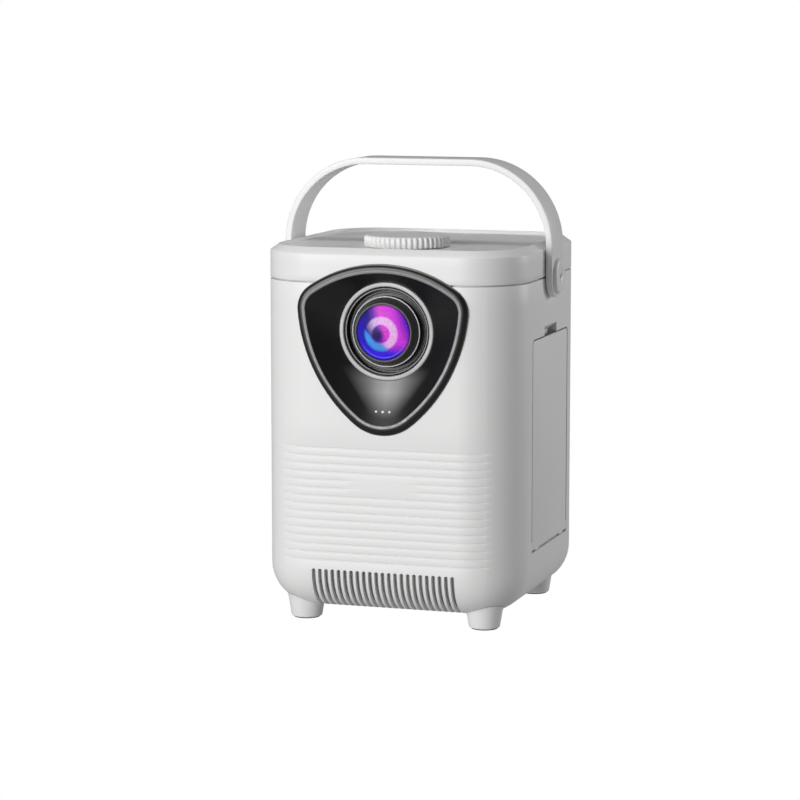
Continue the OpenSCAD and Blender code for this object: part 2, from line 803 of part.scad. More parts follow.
// Nose that holds the front glass: a lip in front of it and a cone round it
module lens_retainer() color(c_black)
    lens_turned() polygon([
        [lens_bore, nose_back], [lens_bore, glass_back], [nose_bore, glass_back],
        [nose_bore, glass_front], [glass_r, glass_front], [glass_r, nose_front + 0.3],
        [glass_r + 0.4, nose_front], [nose_bore + 0.6, nose_front + 0.1],
        [nose_bore + 0.8, nose_front + 0.5], [retainer_r - 0.3, sleeve_front - 0.2],
        [retainer_r, sleeve_front + 0.3], [retainer_r, nose_back]]);

// Round glass from y0 to y1 at its edge, with faces that bulge by front_sag and
// back_sag, or are hollow where the bulge is negative
module glass(r, y0, y1, front_sag, back_sag, front_rim = 2.1) {
    steps = 8;
    clear_r = r - 2.1;
    front_r = r - front_rim;
    front = [for (i = [0 : steps]) let (k = i / steps)
        [front_r * k, y0 - front_sag * (1 - k * k)]];
    back = [for (i = [steps : -1 : 0]) let (k = i / steps)
        [clear_r * k, y1 + back_sag * (1 - k * k)]];
    lens_turned() polygon(concat(front, [[r, y0], [r, y1]], back));
}

lens_out = lens_bore - 0.02;
module front_lens() color(c_glass)
    glass(nose_bore - 0.02, glass_front, glass_back, 2.6, 1.6, nose_bore - glass_r + 0.1);
module middle_lens() color(c_glass) glass(lens_out, middle_front, middle_front + 4, -1.2, -1.2);
module rear_lens() color(c_glass) glass(lens_out, rear_front, rear_front + 5, 2, 2);

module lens_spacers() color(c_black) {
    spans = [[glass_back, middle_front], [middle_front + 4, rear_front],
        [rear_front + 5, barrel_back]];
    for (s = spans) translate([0, s[0], lens_z])
        tube_y(lens_out, lens_bore - 2, s[1] - s[0]);
}

// --------------------------------------------------------------- focus

rack_x = pinion_pitch_r + 0.9 * gear_module;
rack_w = 3.6;
rack_mid = -knob_y;
bush_r = 5;
shaft_r = 3;
stub_r = 2;

// Teeth of the pinion, with a gap facing the rack's middle tooth
module pinion_outline() {
    root = pinion_pitch_r - 1.25 * gear_module;
    tip = pinion_pitch_r + 0.9 * gear_module;
    step = 360 / pinion_teeth;
    half_pitch = step / 4 - 0.5 * tooth_play / pinion_pitch_r * 180 / PI;
    circle(root);
    for (i = [0 : pinion_teeth - 1]) rotate([0, 0, (i + 0.5) * step])
        polygon([[root - 0.3, -root * sin(half_pitch * 1.5)],
            [pinion_pitch_r, -pinion_pitch_r * sin(half_pitch)],
            [tip, -tip * sin(half_pitch * 0.42)], [tip, tip * sin(half_pitch * 0.42)],
            [pinion_pitch_r, pinion_pitch_r * sin(half_pitch)],
            [root - 0.3, root * sin(half_pitch * 1.5)]]);
}

module focus_pinion() color(c_brass)
    translate([0, -knob_y, gear_z]) linear_extrude(gear_t) difference() {
        pinion_outline();
        circle(stub_r);
    }

module focus_rack() color(c_brass) {
    tip = -0.8 * gear_module;
    base = 1.25 * gear_module;
    flank = tan(20);
    half_tooth = tooth_pitch / 4 - tooth_play / 2;
    teeth = floor(rack_len / tooth_pitch / 2);
    translate([0, rack_mid, 0]) union() {
        translate([pinion_pitch_r + base, -rack_len / 2, gear_z]) cube([rack_w, rack_len, gear_t]);
        translate([pinion_pitch_r, 0, gear_z]) linear_extrude(gear_t)
            for (i = [-teeth : teeth]) translate([0, i * tooth_pitch])
                polygon([[base + 0.1, -half_tooth - base * flank], [tip, -half_tooth - tip * flank],
                    [tip, half_tooth + tip * flank], [base + 0.1, half_tooth + base * flank]]);
        // leg down to the barrel
        difference() {
            translate([pinion_pitch_r + base, -rack_len / 2, lens_z + barrel_r - 4])
                cube([rack_w, rack_len, gear_z - lens_z - barrel_r + 5]);
            translate([0, -rack_len, lens_z]) rod_y(barrel_r, 2 * rack_len);
        }
    }
}

module focus_shaft() color(c_steel) translate([0, -knob_y, 0]) {
    translate([0, 0, gear_z - 0.6]) cylinder(r = stub_r, h = gear_t + 2.6);
    translate([0, 0, gear_z + gear_t + 1.6]) cylinder(r = shaft_r + 1.2,
        h = plate_bottom - 2.2 - gear_z - gear_t - 1.6);
    translate([0, 0, plate_bottom - 2.3]) cylinder(r = shaft_r, h = knob_h + wall + 1);
}

module knob_bush() color(c_brass) translate([0, -knob_y, 0])
    difference() {
        translate([0, 0, plate_bottom - 2]) cylinder(r = bush_r, h = wall + 2);
        translate([0, 0, plate_bottom - 3]) cylinder(r = shaft_r + run_gap, h = wall + 6);
    }

module focus_knob() color(c_case) {
    rib_depth = 0.9;
    step = 360 / knob_ribs;
    low = plate_top + 0.5;
    ribs = [for (i = [0 : knob_ribs - 1], k = [0 : 3])
        let (a = (i + [0, 0.3, 0.5, 0.8][k]) * step,
             r = knob_r - (k < 2 ? 0 : rib_depth)) r * [cos(a), sin(a)]];
    translate([0, -knob_y, 0]) difference() {
        union() {
            translate([0, 0, low]) linear_extrude(knob_h - 2) polygon(ribs);
            translate([0, 0, low + knob_h - 2])
                cylinder(r1 = knob_r - rib_depth, r2 = knob_r - rib_depth - 1.5, h = 1.5);
        }
        translate([0, 0, low - 1]) cylinder(r = shaft_r, h = plate_bottom - 2.3 + knob_h + wall + 2 - low);
        // hollow underneath
        translate([0, 0, low - 1]) difference() {
            cylinder(r = knob_r - 4, h = knob_h - 2);
            translate([0, 0, -1]) cylinder(r = shaft_r + 2.2, h = 8);
        }
    }
}

// -------------------------------------------------------------- handle

module handle() color(c_case)
    difference() {
        union() {
            translate([0, strap_w / 2, 0]) rotate([90, 0, 0]) linear_extrude(strap_w) {
                both_sides_2d() {
                    translate([arm_in, pivot_z]) square([strap_t, bend_z - pivot_z]);
                    translate([handle_core, bend_z]) intersection() {
                        difference() {
                            circle(handle_r);
                            circle(handle_r - strap_t);
                        }
                        square(handle_r + 1);
                    }
                }
                translate([-handle_core, bend_z + handle_r - strap_t])
                    square([2 * handle_core, strap_t]);
            }
            both_sides() translate([arm_in, 0, pivot_z]) rod_x(strap_w / 2, strap_t);
        }
        both_sides() translate([arm_in - 1, 0, pivot_z]) rod_x(pin_r + run_gap, strap_t + 2);
    }

module both_sides_2d() {
    children();
    mirror([1, 0]) children();
}

module pivot_cap() color(c_case)
    translate([arm_out, 0, pivot_z]) rotate([0, 90, 0]) rotate_extrude()
        polygon([[1.6, 0], [cap_r, 0], [cap_r, cap_t - 0.8], [cap_r - 0.8, cap_t], [1.6, cap_t]]);
module pivot_caps() { both_sides() pivot_cap(); }

module pivot_pins() color(c_steel)
    both_sides() translate([bracket_x, 0, pivot_z]) rod_x(pin_r, arm_out - 0.2 - bracket_x);

module pivot_brackets() color(c_steel)
    both_sides() difference() {
        union() {
            panel_yz(28, 34, 4, bracket_x, bracket_t, 0, pivot_z - 8);
            for (s = [-1, 1]) translate([bracket_x, s * 9, pivot_z - 18])
                rod_x(3, side_in - bracket_x);
        }
        translate([bracket_x - 1, 0, pivot_z]) rod_x(pin_r, bracket_t + 2);
    }

// -------------------------------------------------------- light engine

// Line that the slanted back follows, as y + z
slant = lens_z + engine_mid + 6;

module mirror_housing() color(c_dark) {
    t = engine_wall;
    inner = slant - t * sqrt(2);
    difference() {
        translate([-engine_w / 2, 0, 0]) rotate([90, 0, 90]) linear_extrude(engine_w)
            polygon([[engine_front, engine_top], [slant - engine_top, engine_top],
                [slant - lens_z - 24, lens_z + 24], [engine_front, lens_z + 24]]);
        translate([-engine_w / 2 + t, 0, 0]) rotate([90, 0, 90]) linear_extrude(engine_w - 2 * t)
            polygon([[engine_front + t, engine_top - 1], [inner - engine_top + 1, engine_top - 1],
                [inner - lens_z - 22, lens_z + 22], [engine_front + t, lens_z + 22]]);
        translate([0, engine_front - 1, lens_z]) rod_y(22, 5);
    }
}

module mirror_glass() color([0.8, 0.85, 0.9]) {
    mirror_l = 56;
    translate([0, engine_mid, lens_z]) rotate([-45, 0, 0])
        translate([-31, -mirror_l / 2, (slant - lens_z - engine_mid) / sqrt(2) - engine_wall - 2.1])
            cube([62, mirror_l, 2]);
}

lcd_z = engine_top - 14;
sheet_z = [engine_top - 8, engine_top - 34];
heat_glass_z = engine_top - 42;
condenser_z = engine_top - 60;
sheets = [for (z = [sheet_z[0], lcd_z, sheet_z[1], heat_glass_z]) z];

module engine_housing() color(c_dark) {
    t = engine_wall;
    ledge = 4;
    translate([0, engine_mid, 0]) difference() {
        union() {
            difference() {
                translate([-engine_w / 2, -engine_d / 2, engine_low])
                    cube([engine_w, engine_d, engine_top - engine_low]);
                translate([-engine_w / 2 + t, -engine_d / 2 + t, engine_low - 1])
                    cube([engine_w - 2 * t, engine_d - 2 * t, engine_top - engine_low + 2]);
            }
            // ledges under the optical sheets
            for (z = sheets, s = [-1, 1])
                translate([s * (engine_w / 2 - t - ledge / 2 + 0.5) - ledge / 2 - 0.5,
                    -engine_d / 2 + 0.5, z - 2]) cube([ledge + 1, engine_d - 1, 2]);
            // holder of the condenser lens
            translate([-engine_w / 2 + 0.5, -engine_d / 2 + 0.5, condenser_z - 2])
                cube([engine_w - 1, engine_d - 1, 2]);
        }
        translate([0, 0, condenser_z - 3]) cylinder(r = 25, h = 5);
        // cleaning window on the door side
        translate([engine_w / 2 - t - 1, -20, engine_low + 38]) cube([t + 2, 40, 32]);
    }
}

module service_cover() color(c_grey)
    difference() {
        panel_yz(50, 40, 3, engine_w / 2, 1.6, engine_mid, engine_low + 54);
        for (sy = [-1, 1], sz = [-1, 1])
            translate([engine_w / 2 - 1, engine_mid + sy * 22, engine_low + 54 + sz * 17])
                rod_x(1.2, 5);
    }

module sheet(z, t) {
    translate([-sheet_w / 2, engine_mid - sheet_d / 2, z]) cube([sheet_w, sheet_d, t]);
}
module lcd_panel() color([0.12, 0.12, 0.16]) sheet(lcd_z, 2.5);
module fresnel_lenses() color(c_glass) for (z = sheet_z) sheet(z, 2);
module heat_glass() color(c_glass) sheet(heat_glass_z, 1.5);

module condenser_lens() color(c_glass) translate([0, engine_mid, 0])
    intersection() {
        translate([0, 0, condenser_z]) cylinder(r = 27, h = 12);
        translate([0, 0, condenser_z + 10 - 42]) sphere(42);
    }

module reflector() color(c_grey) translate([0, engine_mid, 0])
    rotate_extrude() polygon([[11, engine_low + 1], [12.5, engine_low + 1],
        [28.5, condenser_z - 2], [27, condenser_z - 2]]);

module led_module() color([0.9, 0.85, 0.4]) translate([0, engine_mid, 0]) {
    translate([-25, -25, sink_top]) cube([50, 50, 2]);
    translate([-10, -10, sink_top + 1]) cube([20, 20, 2]);
}

module heat_sink() color(c_steel) {
    fins = 14;
    fin_t = 1.5;
    span = engine_w;
    translate([-span / 2, engine_front, sink_top - 6]) cube([span, engine_d, 6]);
    for (i = [0 : fins - 1])
        translate([-span / 2 + i * (span - fin_t) / (fins - 1), engine_front, sink_low])
            cube([fin_t, engine_d, sink_top - sink_low - 5]);
}

module fan_frame(y, z) {
    translate([0, y, z]) difference() {
        union() {
            difference() {
                panel_xz(fan_size, fan_size, 4, -fan_t / 2, fan_t, 0);
                translate([0, -fan_t, 0]) rod_y(fan_bore, 2 * fan_t);
            }
            translate([0, fan_t / 2 - 2.5, 0]) rod_y(hub_r, 2.5);
            for (a = [30, 150, 270]) rotate([0, a, 0])
                translate([0, fan_t / 2 - 2, -1.5]) cube([fan_bore + 0.5, 2, 3]);
        }
        translate([0, -fan_t, 0]) rod_y(1.5 + run_gap, 2 * fan_t);
        for (sx = [-1, 1], sz = [-1, 1])
            translate([sx * 25, -fan_t, sz * 25]) rod_y(2, 2 * fan_t);
    }
}

module fan_rotor(y, z) {
    blades = 7;
    translate([0, y, z]) {
        translate([0, -fan_t / 2 + 1, 0]) rod_y(hub_r, fan_t - 4.5);
        translate([0, 0, 0]) rod_y(1.5, fan_t / 2 - 0.3);
        for (i = [0 : blades - 1]) rotate([0, i * 360 / blades, 0])
            translate([hub_r - 1, -0.5, 0]) rotate([35, 0, 0])
                translate([0, -5.2, -0.6]) cube([rotor_r - hub_r, 9.6, 1.2]);
    }
}

module lamp_fan_frame() color(c_black) fan_frame(lamp_fan_y, lamp_fan_z);
module lamp_fan_rotor() color(c_dark) fan_rotor(lamp_fan_y, lamp_fan_z);
module exhaust_fan_frame() color(c_black) fan_frame(exhaust_y, exhaust_z);
module exhaust_fan_rotor() color(c_dark) fan_rotor(exhaust_y, exhaust_z);

module fan_duct() color(c_dark) {
    y0 = lamp_fan_y + fan_t / 2;
    difference() {
        panel_xz(66, 70, 3, y0, engine_front - y0, 50);
        translate([0, y0 - 1, lamp_fan_z]) rod_y(fan_bore, 10);
        translate([-31, y0 + 2, 17]) cube([62, 10, 64]);
    }
}

module chassis_plates() color(c_steel)
    both_sides() difference() {
        union() {
            translate([engine_w / 2, engine_front + 5, floor_z]) cube([1.6, engine_d - 16, 78]);
            translate([engine_w / 2, engine_front + 5, floor_z]) cube([9, engine_d - 16, 1.6]);
        }
        translate([engine_w / 2 - 1, engine_mid, 40]) rod_x(15, 4);
    }

// ---------------------------------------------------------- electronics

board_y = front_in + 22;
board_z = [90, 128];
board_post_x = 46;

module board_xz(w, h, y, z) {
    translate([-w / 2, y, z - h / 2]) cube([w, 1.6, h]);
}

module main_board() color(c_board) {
    mid = (board_z[0] + board_z[1]) / 2;
    difference() {
        union() {
            board_xz(104, 50, board_y, mid);
            translate([-12, board_y + 1, mid - 12]) cube([24, 6, 24]);
            translate([20, board_y + 1, mid - 8]) cube([14, 2, 14]);
            translate([-36, board_y + 1, mid - 6]) cube([12, 2, 12]);
            translate([-40, board_y + 1, mid - 22]) cube([60, 5, 6]);
        }
        for (sx = [-1, 1], z = board_z)
            translate([sx * board_post_x, board_y - 1, z]) rod_y(screw_r + 0.1, 4);
    }
}

module power_board() color(c_board) {
    x = -engine_w / 2 - 1.6;
    translate([x - 12, engine_front + 8, 18]) cube([1.6, 46, 36]);
    translate([x - 11, engine_front + 14, 24]) cube([8, 14, 22]);
    translate([x - 11, engine_front + 36, 30]) cube([7, 12, 12]);
    for (dy = [11, 51], z = [20.5, 51]) translate([x - 11, engine_front + dy, z]) rod_x(1.8, 11);
}

usb_x = 21;
usb_w = 14.4;
usb_h = 7.4;
hdmi_x = 1.5;
hdmi_w = 16;
hdmi_h = 7;
jack_r = 3.6;
inlet_x = -20.5;
inlet_w = 21;
inlet_h = 14;
inlet_z = 55;
port_back = rear_in - 12;
port_front = half_d + 1;

module port_board() color(c_board)
    union() {
        translate([-32, port_back - 1.6, 38]) cube([64, 1.6, 36]);
        // standoffs to the rear panel
        for (x = [-9.2, 29.5], z = [39.8, 72])
            translate([x, port_back - eps, z]) rod_y(1.5, rear_in - port_back + eps);
    }

// A socket shell, open to the rear
module socket(x, z, w, h, t, depth) {
    translate([x - w / 2, port_back, z - h / 2]) difference() {
        cube([w, port_front - port_back, h]);
        translate([t, port_front - port_back - depth, t]) cube([w - 2 * t, depth + 1, h - 2 * t]);
    }
}

module port_sockets() color(c_steel) {
    for (z = port_z) socket(usb_x, z, usb_w, usb_h, 1.1, 11);
    socket(hdmi_x, port_z[0], hdmi_w, hdmi_h, 1, 10);
    translate([hdmi_x, port_back, port_z[1]]) difference() {
        rod_y(jack_r, port_front - port_back);
        translate([0, 2, 0]) rod_y(1.8, 30);
    }
}

module power_inlet() color(c_black)
    socket(inlet_x, inlet_z, inlet_w, inlet_h, 2.6, 11);

speaker_y = 2;
speaker_z = 82;
module speaker() color(c_dark) translate([-side_in, speaker_y, speaker_z]) {
    difference() {
        rod_x(22, 4);
        translate([-1, 0, 0]) rod_x(18.5, 10);
    }
    translate([0.8, 0, 0]) rotate([0, 90, 0]) rotate_extrude()
        polygon([[0, 4.6], [8, 3], [19, 1], [19, 2.2], [10, 12], [10, 17], [0, 17]]);
}

button_travel = 0.8;
switch_y = rear_in - 3.5;

module power_button() color(c_grey) {
    translate([button_x, rear_in - 1.5, button_z]) rod_y(button_r, wall + panel_proud + 1.2);
    translate([button_x, rear_in - 2.4, button_z]) rod_y(button_r + 1.5, 2);
}

// Board behind the power button and the remote control's receiver
module switch_board() color(c_board) union() {
    translate([-26, switch_y - 3.6, button_z - 7]) cube([52, 1.6, 14]);
    translate([button_x - 3, switch_y - 2.1, button_z - 3]) cube([6, 1.6, 6]);
    translate([button_x, switch_y - 1, button_z]) rod_y(1.6, 1);
    translate([-button_x - 3, switch_y - 2.1, button_z - 3.5]) cube([6, 3.5, 7]);
    for (x = [-24.7, 24.7], z = [-5, 5])
        translate([x, switch_y - 2 - eps, button_z + z]) rod_y(1.1, rear_in - switch_y + 2 + eps);
}

module remote_window() color([0.25, 0.05, 0.08])
    translate([-button_x, rear_in + 2, button_z]) rod_y(3.97, wall + panel_proud - 2.2);

// -------------------------------------------------------------- screws

module screw_up(l) {
    cylinder(r = head_r, h = head_h);
    translate([0, 0, head_h - eps]) cylinder(r = screw_r, h = l);
}

module screws() color(c_steel) {
    for (sx = [-1, 1], sy = [-1, 1]) {
        // lid, from below
        translate([sx * boss_pos, sy * boss_pos, seam_z - 17 - head_h]) screw_up(23);
        // feet, from inside
        foot_at(sx, sy) translate([0, 0, floor_z + 3.5 + head_h]) mirror([0, 0, 1]) screw_up(9);
        // base plate, from below
        translate([sx * base_screw_x, base_y + sy * base_screw_y, foot_h - 1.8])
            screw_up_flat(8);
        // rear panel
        translate([sx * panel_screw_x, half_d + panel_proud - head_h + 0.2 + head_h,
            panel_z + sy * panel_screw_z]) rotate([90, 0, 0]) screw_up(6);
        // main board
        translate([sx * board_post_x, board_y + 1.6 + head_h, board_z[sy < 0 ? 0 : 1]])
            rotate([90, 0, 0]) screw_up(9);
    }
}

module screw_up_flat(l) {
    cylinder(r = head_r, h = 1.8);
    translate([0, 0, 1.7]) cylinder(r = screw_r, h = l);
}

main_housing();
top_lid();
base_plate();
rear_panel();
intake_filter();
feet();
foot_pads();
side_door();
door_hinge_pins();
door_gasket();
door_magnet();
catch_plate();
lens_bezel();
bezel_trim();
indicator_lights();
lens_ring();
lens_tube();
lens_barrel();
lens_retainer();
front_lens();
middle_lens();
rear_lens();
lens_spacers();
focus_rack();
focus_pinion();
focus_shaft();
focus_knob();
knob_bush();
handle();
pivot_caps();
pivot_pins();
pivot_brackets();
mirror_housing();
mirror_glass();
engine_housing();
service_cover();
lcd_panel();
fresnel_lenses();
heat_glass();
condenser_lens();
reflector();
led_module();
heat_sink();
lamp_fan_frame();
lamp_fan_rotor();
fan_duct();
exhaust_fan_frame();
exhaust_fan_rotor();
chassis_plates();
main_board();
power_board();
port_board();
port_sockets();
power_inlet();
speaker();
switch_board();
power_button();
remote_window();
tripod_insert();
screws();
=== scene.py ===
"""Home projector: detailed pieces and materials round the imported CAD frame."""
import json
import math
import bmesh
import bpy
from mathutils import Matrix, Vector

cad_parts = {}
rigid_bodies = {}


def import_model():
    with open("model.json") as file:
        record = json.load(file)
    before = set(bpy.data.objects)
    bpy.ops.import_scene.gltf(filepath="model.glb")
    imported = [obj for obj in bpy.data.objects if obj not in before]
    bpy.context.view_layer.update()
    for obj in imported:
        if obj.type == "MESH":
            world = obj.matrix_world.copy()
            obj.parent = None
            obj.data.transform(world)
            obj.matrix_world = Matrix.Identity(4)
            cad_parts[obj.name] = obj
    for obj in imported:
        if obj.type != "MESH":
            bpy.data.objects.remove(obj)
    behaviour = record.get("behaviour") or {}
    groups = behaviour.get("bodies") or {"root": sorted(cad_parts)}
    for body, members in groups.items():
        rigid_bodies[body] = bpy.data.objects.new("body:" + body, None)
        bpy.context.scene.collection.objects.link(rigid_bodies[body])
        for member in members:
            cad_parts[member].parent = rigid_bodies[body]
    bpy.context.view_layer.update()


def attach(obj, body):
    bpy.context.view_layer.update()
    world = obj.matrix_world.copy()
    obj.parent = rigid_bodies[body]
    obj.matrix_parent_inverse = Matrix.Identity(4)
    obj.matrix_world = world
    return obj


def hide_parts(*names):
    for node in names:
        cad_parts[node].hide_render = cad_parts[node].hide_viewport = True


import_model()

MM = 0.001

# ------------------------------------------------------------------ sizes (mm)
HALF = 75.0            # half the width and half the depth of the case
CORNER = 32.5          # radius of the upright corners
CORE = HALF - CORNER   # where the flat sides end
FOOT_Z = 8.0           # underside of the case
BOTTOM_R = 23.0        # rounding round the underside
WALL = 2.5
SEAM = 193.0           # joint between case and lid, and height of the handle's pivots
GAP = 0.8              # width of that joint
CASE_TOP = SEAM - GAP / 2
LID_LOW = SEAM + GAP / 2
TOP = 212.0            # crest of the lid's rim
RIM_H = 3.6
RIM_W = 5.0
PLATE = 210.0          # recessed top of the lid
PIVOT_HOLE_R = 4.6

GROOVE_Z = [37.4 + 4.53 * i for i in range(15)]
GROOVE_SHAPE = ((-0.62, 0), (-0.45, 0.05), (-0.25, 0.25), (0.0, 0.34), (0.25, 0.25), (0.45, 0.05), (0.62, 0))
GROOVE_END = 30.0      # degrees round the corner where the grooves stop
BLANK_X = 20.0         # half the width of the blank in two of the grooves
BLANK_GROOVES = (9, 10)
SLOTS = 23             # intake slots in the front's lower edge
SLOT_PITCH = 3.68
SLOT_HALF = 1.1

LENS_Z = 166.0         # height of the lens axis
LENS_SEAT_R = 27.4     # hole of the bezel's dish, round the lens ring
GLASS_R = 15.4
RIDGE = 3.0            # width of the bezel's outer slope
RIDGE_W = 2.0          # width of the ridge inside that slope
CROWN_R, CROWN_TOP = 75.0, 38.1        # upper arc of the shield, and its top above the lens axis
SHOULDER_R, SHOULDER_X = 15.0, 34.2    # arcs at the upper corners
SIDE_R = 90.0
POINT_R, POINT_DROP = 26.0, 57.1       # lower arc, and its lowest point below the lens axis

DIAL_Y = -30.6
DIAL_R = 24.0
DOOR_Y = 1.5           # middle of the door
HINGE = (73.1, 42.6)   # x and z of the door's hinge
HINGE_R = 1.9
REAR_Z = 105.0         # middle of the rear panel
FOOT_XY = 52.5
STRAP_IN = 75.5        # inner face of the handle's arms
STRAP_T = 3.8
STRAP_LOW = 12.2       # where the arms' round ends begin, above the pivots


# ------------------------------------------------------------------ materials
def new_material(name):
    m = bpy.data.materials.new(name)
    m.use_nodes = True
    nt = m.node_tree
    nt.nodes.clear()
    out = nt.nodes.new("ShaderNodeOutputMaterial")
    bsdf = nt.nodes.new("ShaderNodeBsdfPrincipled")
    nt.links.new(bsdf.outputs[0], out.inputs[0])
    return m, nt, bsdf


def node(nt, kind, **values):
    n = nt.nodes.new(kind)
    for key, value in values.items():
        if key.startswith("in_"):
            n.inputs[key[3:].replace("_", " ")].default_value = value
        else:
            setattr(n, key, value)
    return n


def ramp(nt, fac, stops):
    r = nt.nodes.new("ShaderNodeValToRGB")
    r.color_ramp.elements[0].position = stops[0][0]
    r.color_ramp.elements[0].color = stops[0][1]
    r.color_ramp.elements[1].position = stops[-1][0]
    r.color_ramp.elements[1].color = stops[-1][1]
    for pos, col in stops[1:-1]:
        e = r.color_ramp.elements.new(pos)
        e.color = col
    nt.links.new(fac, r.inputs[0])
    return r.outputs[0]


def grey(v, a=1.0):
    return (v, v, v, a)


def calc(nt, op, *values):
    """Math node: numbers are set on its sockets, and outputs are linked to them."""
    n = node(nt, "ShaderNodeMath", operation=op)
    for k, v in enumerate(values):
        if isinstance(v, (int, float)):
            n.inputs[k].default_value = v
        else:
            nt.links.new(v, n.inputs[k])
    return n.outputs[0]


def mixed(nt, fac, a, b, how="MIX"):
    """Colour mix of a and b, each a colour or an output."""
    n = node(nt, "ShaderNodeMix", data_type="RGBA", blend_type=how)
    for key, v in (("Factor", fac), ("A", a), ("B", b)):
        if isinstance(v, (float, tuple)):
            n.inputs[key].default_value = v
        else:
            nt.links.new(v, n.inputs[key])
    return n.outputs["Result"]


def moulded(name, colour, rough, grain=0.12, grain_scale=1800.0, tint=0.02, coat=0.0, edge=0.0):
    """Moulded plastic: fine grain, slight tone and gloss variation, edges a little brighter."""
    m, nt, b = new_material(name)
    tc = node(nt, "ShaderNodeTexCoord")
    fine = node(nt, "ShaderNodeTexNoise", in_Scale=grain_scale, in_Detail=3.0, in_Roughness=0.6)
    wide = node(nt, "ShaderNodeTexNoise", in_Scale=22.0, in_Detail=4.0, in_Roughness=0.55)
    nt.links.new(tc.outputs["Object"], fine.inputs["Vector"])
    nt.links.new(tc.outputs["Object"], wide.inputs["Vector"])
    lo = tuple(max(0.0, c * (1 - tint)) for c in colour) + (1.0,)
    hi = tuple(min(1.0, c * (1 + tint)) for c in colour) + (1.0,)
    col = ramp(nt, wide.outputs["Fac"], [(0.3, lo), (0.7, hi)])
    if edge:
        geo = node(nt, "ShaderNodeNewGeometry")
        # convex edges painted a little brighter, found by Pointiness
        convex_edge_mask = ramp(nt, geo.outputs["Pointiness"], [(0.5, grey(0.0)), (0.62, grey(1.0))])
        col = mixed(nt, convex_edge_mask, col, tuple(min(1.0, c + edge) for c in colour) + (1.0,))
    nt.links.new(col, b.inputs["Base Color"])
    r = ramp(nt, wide.outputs["Fac"], [(0.25, grey(rough - 0.03)), (0.75, grey(rough + 0.03))])
    nt.links.new(r, b.inputs["Roughness"])
    b.inputs["Coat Weight"].default_value = coat
    if coat:
        b.inputs["Coat Roughness"].default_value = 0.12
    bump = node(nt, "ShaderNodeBump", in_Strength=grain, in_Distance=0.00005)
    nt.links.new(fine.outputs["Fac"], bump.inputs["Height"])
    nt.links.new(bump.outputs[0], b.inputs["Normal"])
    return m


def bezel_black(name, dark, top_light_grey, sheen):
    """Satin black moulding with painted light: faces turned up painted paler, a painted reflection of light
    from above, and a soft painted cone of sheen under the lens.
    """
    m = moulded(name, dark, 0.33, grain=0.12, tint=0.15, edge=0.015)
    nt = m.node_tree
    b = next(n for n in nt.nodes if n.type == "BSDF_PRINCIPLED")
    tc = node(nt, "ShaderNodeTexCoord")
    geo = node(nt, "ShaderNodeNewGeometry")
    pos, nor = node(nt, "ShaderNodeSeparateXYZ"), node(nt, "ShaderNodeSeparateXYZ")
    nt.links.new(tc.outputs["Object"], pos.inputs[0])
    nt.links.new(geo.outputs["True Normal"], nor.inputs[0])
    # painted sheen: the cone narrows from the lens ring down to the lights
    start, length, wide, narrow = 24.0, 24.0, 24.0, 17.0
    drop = calc(nt, "SUBTRACT", (LENS_Z - start) * MM, pos.outputs["Z"])
    drop = calc(nt, "DIVIDE", drop, length * MM)
    half = calc(nt, "MULTIPLY_ADD", drop, -narrow * MM, wide * MM)
    side = calc(nt, "ABSOLUTE", calc(nt, "SUBTRACT", pos.outputs["X"], 1.0 * MM))
    across = ramp(nt, calc(nt, "DIVIDE", side, half),
                  [(0.0, grey(1.0)), (0.35, grey(0.75)), (1.0, grey(0.0))])
    along = ramp(nt, calc(nt, "MULTIPLY_ADD", drop, 0.5, 0.25),
                 [(0.14, grey(0.0)), (0.30, grey(0.9)), (0.45, grey(1.0)), (0.74, grey(0.0))])
    cone = calc(nt, "MULTIPLY", across, along)
    # faces turned up painted paler: painted reflection of light from above
    up = ramp(nt, nor.outputs["Z"], [(0.55, grey(0.0)), (0.85, grey(1.0))])
    col = mixed(nt, cone, b.inputs["Base Color"].links[0].from_socket, grey(sheen))
    nt.links.new(mixed(nt, up, col, grey(top_light_grey)), b.inputs["Base Color"])
    return m


def metal(name, colour, rough, scale=(900.0, 900.0, 30.0), strength=0.1, metallic=1.0):
    """Metal with fine lines drawn along one direction and a faint change of gloss."""
    m, nt, b = new_material(name)
    tc = node(nt, "ShaderNodeTexCoord")
    mp = node(nt, "ShaderNodeMapping")
    mp.inputs["Scale"].default_value = scale
    n1 = node(nt, "ShaderNodeTexNoise", in_Scale=1.0, in_Detail=4.0)
    n2 = node(nt, "ShaderNodeTexNoise", in_Scale=60.0, in_Detail=3.0)
    nt.links.new(tc.outputs["Object"], mp.inputs["Vector"])
    nt.links.new(mp.outputs[0], n1.inputs["Vector"])
    nt.links.new(tc.outputs["Object"], n2.inputs["Vector"])
    lo = tuple(c * 0.93 for c in colour) + (1.0,)
    hi = tuple(min(1.0, c * 1.04) for c in colour) + (1.0,)
    nt.links.new(ramp(nt, n2.outputs["Fac"], [(0.3, lo), (0.7, hi)]), b.inputs["Base Color"])
    nt.links.new(ramp(nt, n1.outputs["Fac"], [(0.3, grey(rough * 0.85)), (0.7, grey(rough * 1.15))]),
                 b.inputs["Roughness"])
    b.inputs["Metallic"].default_value = metallic
    bump = node(nt, "ShaderNodeBump", in_Strength=strength, in_Distance=0.00003)
    nt.links.new(n1.outputs["Fac"], bump.inputs["Height"])
    nt.links.new(bump.outputs[0], b.inputs["Normal"])
    return m


